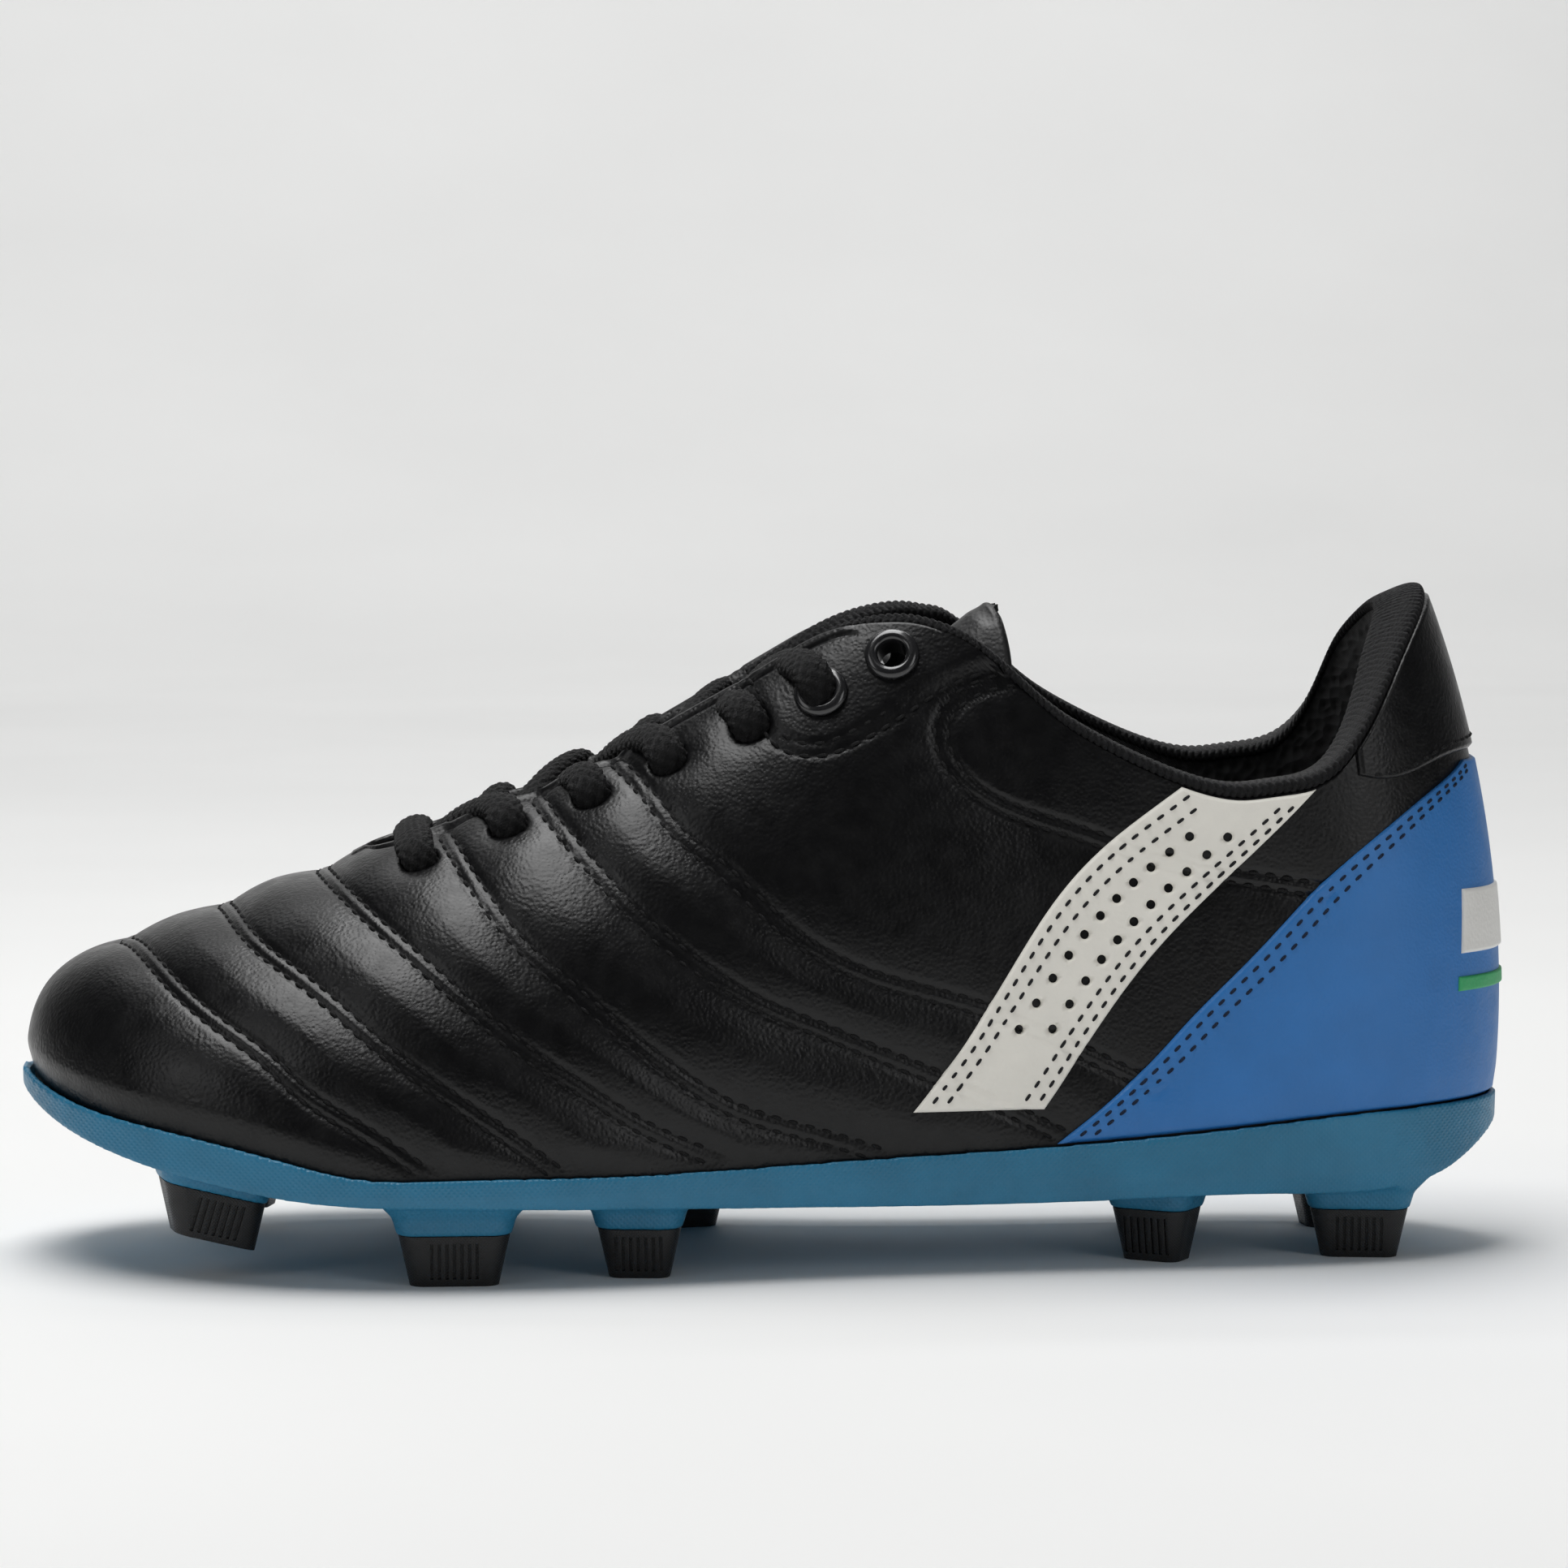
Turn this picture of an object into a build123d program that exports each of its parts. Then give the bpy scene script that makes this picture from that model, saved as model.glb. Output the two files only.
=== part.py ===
from build123d import *

"""A left soccer cleat with a moulded outsole: a quilted synthetic-leather upper, a laced throat, a padded
collar and ten studs.

Millimetres. The toe points along -X, the outer (lateral) side of the foot is at -Y and +Z is up. The
studs stand on Z = 0, and the origin is under the middle of the shoe. Every soft layer is a patch of one
foot-shaped surface, the foot form, set off inwards or outwards along its normal.
"""

import math
import os

import numpy as np

# ---------------------------------------------------------------- driving dimensions
LEATHER = 1.3  # the upper's synthetic leather
GAP = 0.15  # glue and thread between stacked layers
OVERLAY = 1.1  # the pieces stitched on top of the upper
LINING = 0.75  # the textile inside the upper
PUFF = 0.75  # the stiffener inside the toe
COUNTER = 1.5  # the stiffener inside the heel
RIM_TUCK = 4.0  # how far the upper goes down inside the outsole's rim
CAVITY_FIT = 0.95  # room between the upper and the rim around it
BOARD_INSET = 4.4  # from the foot form's sole edge in to the lasting board
SOCK_INSET = 5.6  # and in to the removable insole
BOARD = 2.0  # thickness of the lasting board
SOCKLINER = 3.5  # thickness of the removable insole
TIP_HEIGHT = 9.0  # a stud's black tip
LACE = 4.4  # diameter of the lace's round section
HOLE = 7.0  # a punched lace hole
RING_BORE = 5.2  # the hole through a ring eyelet
RING_BARREL = 6.4  # outside of the tube between its flange and its rolled edge
RING_FLANGE = 10.0
SEAM = 7.15  # rib along which the vamp meets the quarters
THROAT_END = (-66.0, 3.2, 7.6)  # the round front end of the throat: middle x, y and radius
HEEL = 18  # rib in the middle of the heel
LAST = 2 * HEEL  # rib at the toe on the medial side

# The foot form's lateral ribs. Each runs from the sole edge up to the ridge of the foot or the ankle:
# sole edge x, y | top x, y, z | bottom handle out, up | top handle x, y, z
LATERAL_RIBS = [
    (-134.6, -2.0, -135.9, 7.0, 32.0, 0.0, 1.0, 0, -3, 0),
    (-131.0, -12.0, -136.2, 7.0, 40.0, 1.0, 6.0, 0, -9, 0),
    (-125.0, -22.0, -132.5, 7.0, 49.5, 1.0, 12.0, 0, -15, 0),
    (-115.0, -32.0, -122.0, 6.5, 56.5, 1.5, 18.0, 0, -22, 0),
    (-100.0, -40.5, -107.0, 6.0, 62.0, 2.0, 23.0, 0, -27, 0),
    (-82.0, -46.5, -92.0, 5.0, 67.5, 2.0, 27.0, 0, -30, 0),
    (-62.0, -48.8, -78.0, 4.0, 72.5, 2.0, 30.0, 0, -32, 0),
    (-40.0, -47.3, -62.0, 3.0, 79.3, 2.0, 35.0, 0, -31, 0),
    (-18.0, -43.5, -42.0, 2.0, 87.5, 2.0, 40.0, 0, -30, 0),
    (4.0, -39.5, -22.0, 1.0, 98.0, 2.0, 44.0, 0, -30, 0),
    (26.0, -36.8, 0.0, 0.0, 112.5, 2.0, 46.0, 0, -29, 0),
    (46.0, -35.0, 20.0, 0.0, 127.0, 1.0, 46.0, 0, -27, 0),
    (64.0, -34.0, 41.0, -14.0, 134.0, 0.0, 44.0, 0, -12, -20),
    (82.0, -33.2, 64.0, -25.0, 133.0, 0.0, 40.0, 0, -4, -32),
    (100.0, -30.8, 88.0, -28.0, 133.0, 1.0, 36.0, 1, -3, -34),
    (115.0, -26.3, 104.0, -24.0, 132.0, 2.0, 34.0, 4, -5, -34),
    (126.0, -18.5, 113.0, -16.0, 130.0, 3.0, 34.0, 8, -7, -33),
    (133.0, -9.0, 118.0, -8.0, 128.5, 4.0, 34.0, 12, -4, -32),
    (135.3, 0.0, 119.5, 0.0, 128.0, 4.2, 34.0, 13.5, 0, -31),
]
# The medial side, toe to heel: sole edge x, y and how much the arch swells out. The rest is mirrored.
MEDIAL_EDGE = [
    (-134.3, 16.0, 0), (-130.5, 24.0, 0), (-124.0, 31.0, 0), (-114.0, 37.0, 0), (-99.0, 41.8, 0),
    (-81.0, 45.0, 0), (-61.0, 45.5, 1), (-40.0, 42.5, 2), (-19.0, 36.5, 4), (3.0, 31.5, 5),
    (25.0, 29.0, 5), (45.0, 29.0, 3), (64.0, 30.0, 2), (82.0, 31.0, 1), (100.0, 30.0, 0),
    (115.0, 26.3, 0), (126.0, 18.5, 0), (133.0, 9.0, 0),
]
# Height of the outsole's rim along the shoe: x, z
RIM = [(-138, 34.6), (-130, 31.8), (-112, 28.2), (-88, 23.2), (-77, 20.8), (-60, 20.4), (-25, 20.4),
       (16, 21.8), (52, 23.4), (86, 26.2), (104, 27.8), (118, 28.5), (139, 28.6)]
# Underside of the outsole's plate: x, z
PLATE = [(-139, 32), (-134, 28.5), (-126, 25), (-118, 22.4), (-104, 19.2), (-88, 16.4), (-60, 15),
         (-25, 14), (10, 13), (60, 13), (90, 13.6), (116, 14), (126, 17), (132, 20.5), (139, 24.5)]
# The collar's edge: x, z. Ahead of the ankle the throat's width decides where the edge runs.
COLLAR = [(-80, 150), (-20, 137), (6, 127.5), (16, 122.6), (23.8, 120.9), (29.5, 118.9), (35.3, 115.3),
          (41, 111), (49.7, 103.1), (58.4, 97.4), (67.2, 93), (76, 89.6), (83.4, 88.2), (91, 88.9),
          (101.9, 92.6), (108.7, 101.8), (114, 112), (119.5, 120.6), (124, 127)]
THROAT_HALF = [(-80, 7.0), (-66, 7.6), (-30, 9.2), (10, 12.0), (24, 14.0), (40, 16.0)]  # x, half width
MEDIAL_RISE = 2.5  # how much higher the medial side of the collar is
# The eyestay's lower edge: x, z
EYESTAY_LOW = [(-3.5, 103), (1, 96.6), (7, 94.6), (14, 96), (21.5, 101), (30, 105.6), (36, 108.3)]
STRAP_FOOT = (24.0, 36.0, 48.0)  # where the side strap meets the sole: front, middle and back x
STRAP_HEAD = [(74, 86), (98, 87)]  # and the collar: x, z of its corners
# The blue heel overlay's front edge: z, x; and its top edge: z
OVERLAY_FRONT = [(24, 51), (34.1, 63.5), (46.2, 75.2), (57.9, 87.1), (70.4, 99.4), (80.7, 112.3), (92, 129)]
OVERLAY_TOP = 91.3
TAB_LOW = [(98, 94), (104, 90.6), (109, 89.2), (115, 89.6), (122, 92), (132, 93.2)]  # lower edge x, z
TAB_FRONT = 14.75  # rib at which the heel tab starts
# Strips across the heel: front rib, low t, high t, slant in ribs
HEEL_BADGE = (16.1, 0.30, 0.41, 0.12)
HEEL_STRIPE = (15.95, 0.235, 0.26, 0.02)

# Lace holes on the lateral side: x, z. The last two are ring eyelets, and the laces leave the top one free.
HOLES = [(-64.3, 73.9), (-48.1, 80.1), (-32.9, 85.8), (-18.9, 92.2), (-3.9, 98.4), (8.9, 104.3),
         (21.8, 111.1)]
RINGS = (5, 6)

# The outsole's outer face: height, how far outside the foot form's sole edge it stands
FLANK = [(2, -4.0), (17, 1.9), (45, 2.6)]
SHANK = (30, -2, [(9.7, 26, 16), (14.5, 40, 28)])  # bulge under the arch: x, y and its height, length, width
TIP_DRAFT = 1.5  # how far a stud tip's faces lean in from top to bottom
GROOVES = 7  # fine grooves in the outer face of a stud tip
GROOVE_PITCH = 1.35
GROOVE_WIDTH = 0.6
GROOVE_DEPTH = 0.5
GROOVE_SHARE = 0.72  # of the tip's height

# Studs: name, middle x, y, turn about Z, pitch of the toe spring, tip top z, length, width
STUDS = [
    ("lateral_1", -102.3, -26.5, 12, 15, 15.6, 19, 13),
    ("lateral_2", -58.7, -37.0, 0, 0, 9.2, 20, 13),
    ("lateral_3", -25.0, -31.0, -6, 0, 9.0, 15, 12),
    ("lateral_4", 70.8, -20.0, -32, 0, 9.6, 15, 11),
    ("lateral_5", 108.8, -17.5, -8, 0, 9.0, 18, 12),
    ("medial_1", -100.0, 28.0, -14, 15, 15.2, 19, 13),
    ("medial_2", -56.0, 34.5, 0, 0, 9.2, 20, 13),
    ("medial_3", -14.0, 25.0, 12, 0, 9.0, 15, 12),
    ("medial_4", 75.5, 19.5, 28, 0, 9.6, 15, 11),
    ("medial_5", 111.0, 17.0, 8, 0, 9.0, 18, 12),
]


def natural_spline(knots, values):
    """A smooth function through the values at the knots."""
    t = np.asarray(knots, float)
    v = np.asarray(values, float).reshape(len(t), -1)
    h = np.diff(t)
    n = len(t)
    system = np.eye(n)
    right = np.zeros_like(v)
    for i in range(1, n - 1):
        system[i, i - 1 : i + 2] = h[i - 1], 2 * (h[i - 1] + h[i]), h[i]
        right[i] = 6 * ((v[i + 1] - v[i]) / h[i] - (v[i] - v[i - 1]) / h[i - 1])
    bend = np.linalg.solve(system, right)

    def at(x):
        i = int(np.clip(np.searchsorted(t, x) - 1, 0, n - 2))
        a, b = (t[i + 1] - x) / h[i], (x - t[i]) / h[i]
        cubic = (a**3 - a) * bend[i] + (b**3 - b) * bend[i + 1]
        value = a * v[i] + b * v[i + 1] + cubic * h[i] ** 2 / 6
        return value if len(value) > 1 else float(value[0])

    return at


def along(points):
    """A smooth height or width as a function of x."""
    return natural_spline(*zip(*points))


def step(x, low, high):
    """0 below low, 1 above high, smooth between."""
    s = min(max((x - low) / (high - low), 0), 1)
    return s * s * (3 - 2 * s)


def mix(a, b, s):
    return a + (b - a) * s


def solve(function, low, high):
    """Where a rising function crosses zero."""
    for _ in range(36):
        middle = (low + high) / 2
        if function(middle) > 0:
            high = middle
        else:
            low = middle
    return (low + high) / 2


# ---------------------------------------------------------------- the foot form
rim_height = along(RIM)
plate_height = along(PLATE)
collar_height = along(COLLAR)
throat_half = along(THROAT_HALF)
ridge_y = natural_spline(*zip(*[(r[2], r[3]) for r in LATERAL_RIBS[1:12]]))


def rib_rows():
    """All the ribs in order: lateral toe to heel, then medial heel to toe."""
    rows = [list(r) for r in LATERAL_RIBS]
    for (x, y, swell), r in reversed(list(zip(MEDIAL_EDGE, LATERAL_RIBS))):
        top_y = r[3] if r[2] < 25 else -r[3]
        rows.append([x, y, r[2], top_y, r[4], r[5] + swell, r[6], r[7], -r[8], r[9]])
    return rows


ribs = natural_spline(range(LAST + 1), rib_rows())


def outward(k):
    """The level direction that points out of the foot at a rib."""
    stretch = ribs(k + 0.05)[:2] - ribs(k - 0.05)[:2]
    normal = np.array([stretch[1], -stretch[0], 0.0])
    return normal / np.linalg.norm(normal)


def form(k, t):
    """A point of the foot form: on rib k, at t from 0 at the sole edge to 1 at the top."""
    r = ribs(k)
    bottom = np.array([r[0], r[1], rim_height(r[0]) - RIM_TUCK])
    top = r[2:5]
    low = bottom + outward(k) * r[5] + np.array([0, 0, r[6]])
    high = top + r[7:10]
    s = 1 - t
    return s**3 * bottom + 3 * s * s * t * low + 3 * s * t * t * high + t**3 * top


def topline_at(k):
    """The t at which a rib ends in the throat's edge or the collar's edge."""
    medial = MEDIAL_RISE * step(k, HEEL, HEEL + 4)

    def beyond(t):
        x, y, z = form(k, t)
        over = (z - collar_height(min(x, 122)) - medial) / 3
        inside = (throat_half(x) - abs(y - ridge_y(min(x, 20)))) / 3 - 20 * step(x, 30, 60)
        return max(over, inside) + math.log1p(math.exp(-abs(over - inside)))

    return solve(beyond, 0.3, 1.0)


topline_ribs = np.linspace(SEAM, LAST - SEAM, 110)
topline = natural_spline(topline_ribs, [topline_at(k) for k in topline_ribs])


def bound(k):
    """How much of a rib, in t, the textile binding of the collar takes."""
    return 0.033 * step(HEEL - abs(k - HEEL), 10.2, 10.9)


def upper_top(k):
    """The t at which the leather of the upper ends."""
    return topline(k) - bound(k)


def locate(x, z):
    """Rib and t of the lateral side at a place seen from the side."""
    k, t = float(np.interp(x, [-120, -62, 4, 64, 126], [3, 6.5, 9.5, 13, 16.5])), 0.5
    for _ in range(30):
        here = form(k, t)
        by_k = (form(k + 1e-3, t) - here) / 1e-3
        by_t = (form(k, t + 1e-3) - here) / 1e-3
        slopes = np.array([[by_k[0], by_t[0]], [by_k[2], by_t[2]]])
        move = np.linalg.solve(slopes, [x - here[0], z - here[2]])
        k = min(max(k + move[0], 0.5), 17.9)
        t = min(max(t + move[1], 0.0), 0.97)
    return k, t


# ---------------------------------------------------------------- sheets
def raised(surface, u, v, depth):
    """A point set off a surface along its outward normal."""
    e = 1e-3
    across = surface(min(u + e, 1), v) - surface(max(u - e, 0), v)
    up = surface(u, min(v + e, 1)) - surface(u, max(v - e, 0))
    normal = np.cross(across, up)
    return surface(u, v) + depth(u, v) * normal / np.linalg.norm(normal)


def bezier_rule(degree):
    """Where a Bezier curve is sampled, and the matrix that turns the samples into control points."""
    places = (1 - np.cos(np.pi * np.arange(degree + 1) / degree)) / 2
    table = []
    for s in places:
        table.append([math.comb(degree, i) * s**i * (1 - s) ** (degree - i) for i in range(degree + 1)])
    return places, np.linalg.inv(np.array(table))


U_PLACES, U_RULE = bezier_rule(4)
V_PLACES, V_RULE = bezier_rule(5)


def net(point_at, u0, u1, v0, v1):
    """The control points of a Bezier patch through a surface between u0, u1, v0 and v1."""
    rows = []
    for u in mix(u0, u1, U_PLACES):
        rows.append([point_at(u, v) for v in mix(v0, v1, V_PLACES)])
    return np.einsum("ia,abc,jb->ijc", U_RULE, np.array(rows), V_RULE)


def patch(points):
    return Face.make_bezier_surface([[Vector(*p) for p in row] for row in points])


def sheet(surface, outer, inner, columns=8, rows=1):
    """A closed layer of material on a surface between two depths, which may vary over it."""
    rules = [depth if callable(depth) else (lambda u, v, d=depth: d) for depth in (outer, inner)]
    us = np.linspace(0, 1, columns + 1)
    vs = np.linspace(0, 1, rows + 1)
    faces = []
    for i in range(columns):
        for j in range(rows):
            place = us[i], us[i + 1], vs[j], vs[j + 1]
            skins = [net(lambda u, v, d=rule: raised(surface, u, v, d), *place) for rule in rules]
            faces += [patch(skin) for skin in skins]
            if i == 0:
                faces.append(patch([skin[0] for skin in skins]))
            if i == columns - 1:
                faces.append(patch([skin[-1] for skin in skins]))
            if j == 0:
                faces.append(patch([skin[:, 0] for skin in skins]))
            if j == rows - 1:
                faces.append(patch([skin[:, -1] for skin in skins]))
    return Solid(Shell(faces))


def over_ridge(front, back):
    """A surface between two ribs that crosses the toe box from the lateral sole edge to the medial one."""

    def surface(u, v):
        k = mix(front, back, u)
        return form(k if v <= 0.5 else LAST - k, 1 - abs(2 * v - 1))

    return surface


def between_ribs(front, back, low, high, side):
    """A surface on one side of the shoe between two ribs, from one t rule up to another."""
    first, last = (front, back) if side == "lateral" else (LAST - back, LAST - front)

    def surface(u, v):
        k = mix(first, last, u)
        return form(k, mix(low(k), high(k), v))

    return surface


def sole_edge(k):
    return 0.0


rim_ribs = np.arange(8, 29)
rim_ts = [solve(lambda t: form(k, t)[2] - rim_height(form(k, t)[0]) - 0.5, 0.0, 0.5) for k in rim_ribs]
above_rim = natural_spline(rim_ribs, rim_ts)  # the t at which a rib clears the outsole's rim


def below_topline(lower, first, last, side):
    """A surface on the side of the upper, from a lower curve up to the topline between two ribs."""

    def surface(u, v):
        w = u if side == "lateral" else 1 - u
        k0, t0 = lower(w)
        k1 = mix(first, last, w)
        t1 = upper_top(k1 if side == "lateral" else LAST - k1) - 0.006
        k, t = mix(k0, k1, v), mix(t0, t1, v)
        return form(k if side == "lateral" else LAST - k, t)

    return surface


def round_heel(front, low, high):
    """A surface that wraps the heel from one side to the other, between two t rules."""
    return between_ribs(front, LAST - front, low, high, "lateral")


# ---------------------------------------------------------------- the upper
def lining_start(k):
    """Depth of the lining's outer face: deeper behind the toe puff."""
    return -(LEATHER + GAP) - (PUFF + GAP) * (1 - step(k, 3.2, 4.4))


def counter_top(k):
    return 0.5 * upper_top(k) + 0.05


def collar_depth(k, t):
    """Depth of the collar lining's outer face, which the foam pushes inwards near the topline."""
    heel = step(HEEL - abs(k - HEEL), 11.8, 14.2)
    padding = step(t, counter_top(k) - 0.05, counter_top(k) + 0.17) * mix(2.4, 4.6, heel)
    return -(LEATHER + GAP + (COUNTER + GAP) * heel + padding)


def throat_end():
    """The part of the throat that is cut out of the vamp."""
    x, y, radius = THROAT_END
    slot = Pos(x, y, 80) * Cylinder(radius, 60) + Pos(x + 15, y, 80) * Box(30, 2 * radius, 60)
    return slot.solid()


def vamp_cut(panel):
    for side in ("lateral", "medial"):
        panel = pierced(panel, side, [0])
    return panel - throat_end()


def vamp():
    return vamp_cut(sheet(over_ridge(0.0, SEAM), 0, -LEATHER, 7, 4))


def vamp_lining():
    front = 0.35

    def start(u, v):
        return lining_start(mix(front, SEAM, u))

    return vamp_cut(sheet(over_ridge(front, SEAM), start, lambda u, v: start(u, v) - LINING, 7, 4))


def toe_puff():
    return sheet(over_ridge(0.2, 3.1), -LEATHER - GAP, -LEATHER - GAP - PUFF, 3, 4)


def quarter(side):
    surface = between_ribs(SEAM + 0.015, HEEL - 0.01, sole_edge, upper_top, side)
    return pierced(sheet(surface, 0, -LEATHER, 22, 2), side, range(1, len(HOLES)))


def quarter_lining(side):
    surface = between_ribs(SEAM + 0.02, 12.2, sole_edge, upper_top, side)
    layer = sheet(surface, -LEATHER - GAP, -LEATHER - GAP - LINING, 10, 2)
    return pierced(layer, side, range(1, len(HOLES)))


def eyestay(side):
    """The reinforcement round the two ring eyelets."""
    places = [locate(x, z) for x, z in EYESTAY_LOW]
    lower = natural_spline(np.linspace(0, 1, len(places)), places)
    surface = below_topline(lower, places[0][0] + 0.25, places[-1][0] + 0.12, side)
    return pierced(sheet(surface, GAP + OVERLAY, GAP, 5, 1), side, RINGS)


def side_strap(side):
    """A slanting reinforcement from the sole to the collar."""
    foot = [locate(x, 30.0) for x in STRAP_FOOT]
    lower = natural_spline([0, 0.5, 1], foot)
    surface = below_topline(lower, *[locate(x, z)[0] for x, z in STRAP_HEAD], side)
    return sheet(surface, GAP + OVERLAY, GAP, 2, 3)


def heel_overlay():
    """The blue piece round the heel. Its front edge rises backwards from the sole."""
    front_x = along(OVERLAY_FRONT)
    summit = solve(lambda t: form(HEEL, t)[2] - OVERLAY_TOP, 0.3, 0.9)
    levels = np.linspace(0.02, summit, 12)
    fronts = []
    for t in levels:
        fronts.append(solve(lambda k: form(k, t)[0] - front_x(form(k, t)[2]), 9, HEEL))
    front = natural_spline(levels, fronts)

    def surface(u, v):
        k, t = HEEL, 0.04
        for _ in range(4):
            t = mix(above_rim(k), summit, v)
            k = mix(front(t), LAST - front(t), u)
        return form(k, t)

    return sheet(surface, GAP + OVERLAY, GAP, 12, 3)


def heel_tab():
    """The black piece that covers the top of the heel."""
    edge = along(TAB_LOW)
    near = np.linspace(TAB_FRONT, HEEL, 14)
    lows = [solve(lambda t: form(k, t)[2] - edge(form(k, t)[0]), 0.3, 0.95) for k in near]
    low = natural_spline(near, lows)
    surface = round_heel(TAB_FRONT, lambda k: low(HEEL - abs(k - HEEL)), upper_top)
    return sheet(surface, GAP + OVERLAY, GAP, 10, 1)


def heel_trim(front, low, high, slant):
    """A thin strip across the back of the heel overlay."""

    def surface(u, v):
        k = mix(front, LAST - front, u) + slant * (v - 0.5)
        return form(k, mix(low, high, v))

    depth = 2 * GAP + OVERLAY
    return sheet(surface, depth + 0.6, depth, 7, 1)


# ---------------------------------------------------------------- the collar and the heel's inside
def heel_counter():
    surface = round_heel(14.4, sole_edge, counter_top)
    return sheet(surface, -LEATHER - GAP, -LEATHER - GAP - COUNTER, 8, 1)


def collar_foam():
    front = 12.3

    def surface(u, v):
        k = mix(front, LAST - front, u)
        return form(k, mix(counter_top(k) + 0.03, upper_top(k), v))

    def inner(u, v):
        k = mix(front, LAST - front, u)
        return collar_depth(k, mix(counter_top(k) + 0.03, upper_top(k), v)) + 2 * GAP

    return sheet(surface, -LEATHER - GAP, inner, 22, 2)


def collar_lining():
    front = 12.25

    def outer(u, v):
        k = mix(front, LAST - front, u)
        return collar_depth(k, v * upper_top(k))

    surface = round_heel(front, sole_edge, upper_top)
    return sheet(surface, outer, lambda u, v: outer(u, v) - LINING, 22, 5)


def collar_binding():
    """The textile that caps the leather, the foam and the lining along the collar."""
    front = 10.6

    def inner(u, v):
        k = mix(front, LAST - front, u)
        thin = -(LEATHER + GAP + LINING)
        return mix(thin, collar_depth(k, topline(k)) - LINING, step(HEEL - abs(k - HEEL), 11.6, 12.3)) - 0.1

    surface = round_heel(front, lambda k: upper_top(k) + 0.005, topline)
    return sheet(surface, 0.35, inner, 26, 1)


# ---------------------------------------------------------------- the tongue
# Middle of the tongue's outer face: x, z, half width, how far its sides droop
TONGUE = [(-70, 69.0, 12.5, 3.0), (-50, 74.3, 14.5, 4.5), (-30, 81.0, 15.5, 6.5), (-10, 89.0, 16, 9.5),
          (5, 96.3, 16, 12.5), (20, 105.0, 16, 16), (32, 113.6, 15.5, 19), (41, 121.0, 14.5, 21)]
tongue_rows = natural_spline(np.linspace(0, 1, len(TONGUE)), TONGUE)


def tongue_surface(u, v):
    """The tongue's outer face, u from its root to its top, v from lateral to medial."""
    x, z, half, droop = tongue_rows(u)
    ahead = tongue_rows(u + 0.01) - tongue_rows(u - 0.01)
    slope = ahead[:2] / np.linalg.norm(ahead[:2])
    across = 2 * v - 1
    middle = 3.0 * (1 - step(x, -60, 0))
    sag = droop * across * across
    return np.array([x + sag * slope[1], middle + half * across, z - sag * slope[0]])


def tongue_layer(outer, inner):
    return sheet(tongue_surface, outer, inner, 7, 2)


# ---------------------------------------------------------------- lace holes, eyelets and the lace
def hole_frame(index, side):
    """Middle of a lace hole on the upper's face, its outward normal, and the way to the throat."""
    k, t = locate(*HOLES[index])
    k = k if side == "lateral" else LAST - k
    here = form(k, t)
    up = form(k, t + 1e-3) - here
    ahead = form(k + 1e-3, t) - here
    normal = np.cross(ahead, up)
    normal /= np.linalg.norm(normal)
    inward = np.array([0, 1.0 if side == "lateral" else -1.0, 0])
    inward -= np.dot(inward, normal) * normal
    return here, normal, inward / np.linalg.norm(inward)


def pierced(panel, side, indices):
    """A panel of the upper with lace holes or eyelets' holes through it."""
    for index in indices:
        here, normal, _ = hole_frame(index, side)
        bore = (RING_BARREL + 2 * GAP if index in RINGS else HOLE) / 2
        start = Vector(*(here - 4 * normal))
        panel = panel - Solid.make_cylinder(bore, 7, Plane(origin=start, z_dir=Vector(*normal)))
    return panel


def eyelet(index, side):
    """A ring eyelet: a domed flange outside, a barrel through the layers and a rolled edge inside."""
    bore, barrel, flange = RING_BORE / 2, RING_BARREL / 2, RING_FLANGE / 2
    face = OVERLAY + 2 * GAP + 0.25
    back = -(LEATHER + LINING + 2 * GAP) - 0.25
    dome = face + 1.0
    washer, washer_back = flange - 0.5, back - 0.6
    with BuildPart() as ring:
        with BuildSketch(Plane.XZ):
            with BuildLine():
                Polyline((bore, washer_back), (bore, face + 0.5), (bore + 0.5, dome))
                Polyline((bore + 0.5, dome), (flange - 0.8, dome), (flange, face + 0.35))
                Polyline((flange, face + 0.35), (flange, face), (barrel, face), (barrel, back))
                Polyline((barrel, back), (washer, back), (washer, washer_back), (bore, washer_back))
            make_face()
        revolve(axis=Axis.Z)
    here, normal, _ = hole_frame(index, side)
    return Plane(origin=Vector(*here), z_dir=Vector(*normal)).location * ring.part


def lace_points():
    """The corners of the lace's route, from its tail on the lateral side to its tail on the medial side."""
    outside, inside = LACE / 2 + 0.9, LACE / 2 + LEATHER + LINING + 2 * GAP + 0.6

    def stop(index, side, raised_by, toward):
        here, normal, centre = hole_frame(index, side)
        lift = 1.9 if index in RINGS and raised_by > 0 else 0
        return here + normal * (raised_by + lift) + centre * toward

    def over(index, side):
        return [stop(index, side, outside + 0.6, 7.0), stop(index, side, outside, -0.9)]

    def under(index, side):
        return [stop(index, side, -inside, -0.9), stop(index, side, -inside - 0.4, 6.0)]

    def crossing(index, height):
        places = [over(index + 1, s)[0] for s in ("lateral", "medial")]
        places += [under(index, s)[1] for s in ("lateral", "medial")]
        return [sum(places) / 4 + np.array([-0.4 * height, 0, 0.9 * height])]

    def other(side):
        return "medial" if side == "lateral" else "lateral"

    top = RINGS[0]
    route = tail("lateral") + under(top, "lateral")[:1]
    side = "lateral"
    for index in range(top, 0, -1):
        route += over(index, side)[::-1] + crossing(index - 1, 2.7)
        side = other(side)
        route += under(index - 1, side)[::-1]
    route += over(0, side)[::-1]
    side = other(side)
    for index in range(top):
        route += over(index, side) + under(index, side) + crossing(index, -2.7)
        side = other(side)
    route += over(top, side) + under(top, side)[:1] + tail("medial")[::-1]
    return route


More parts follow.
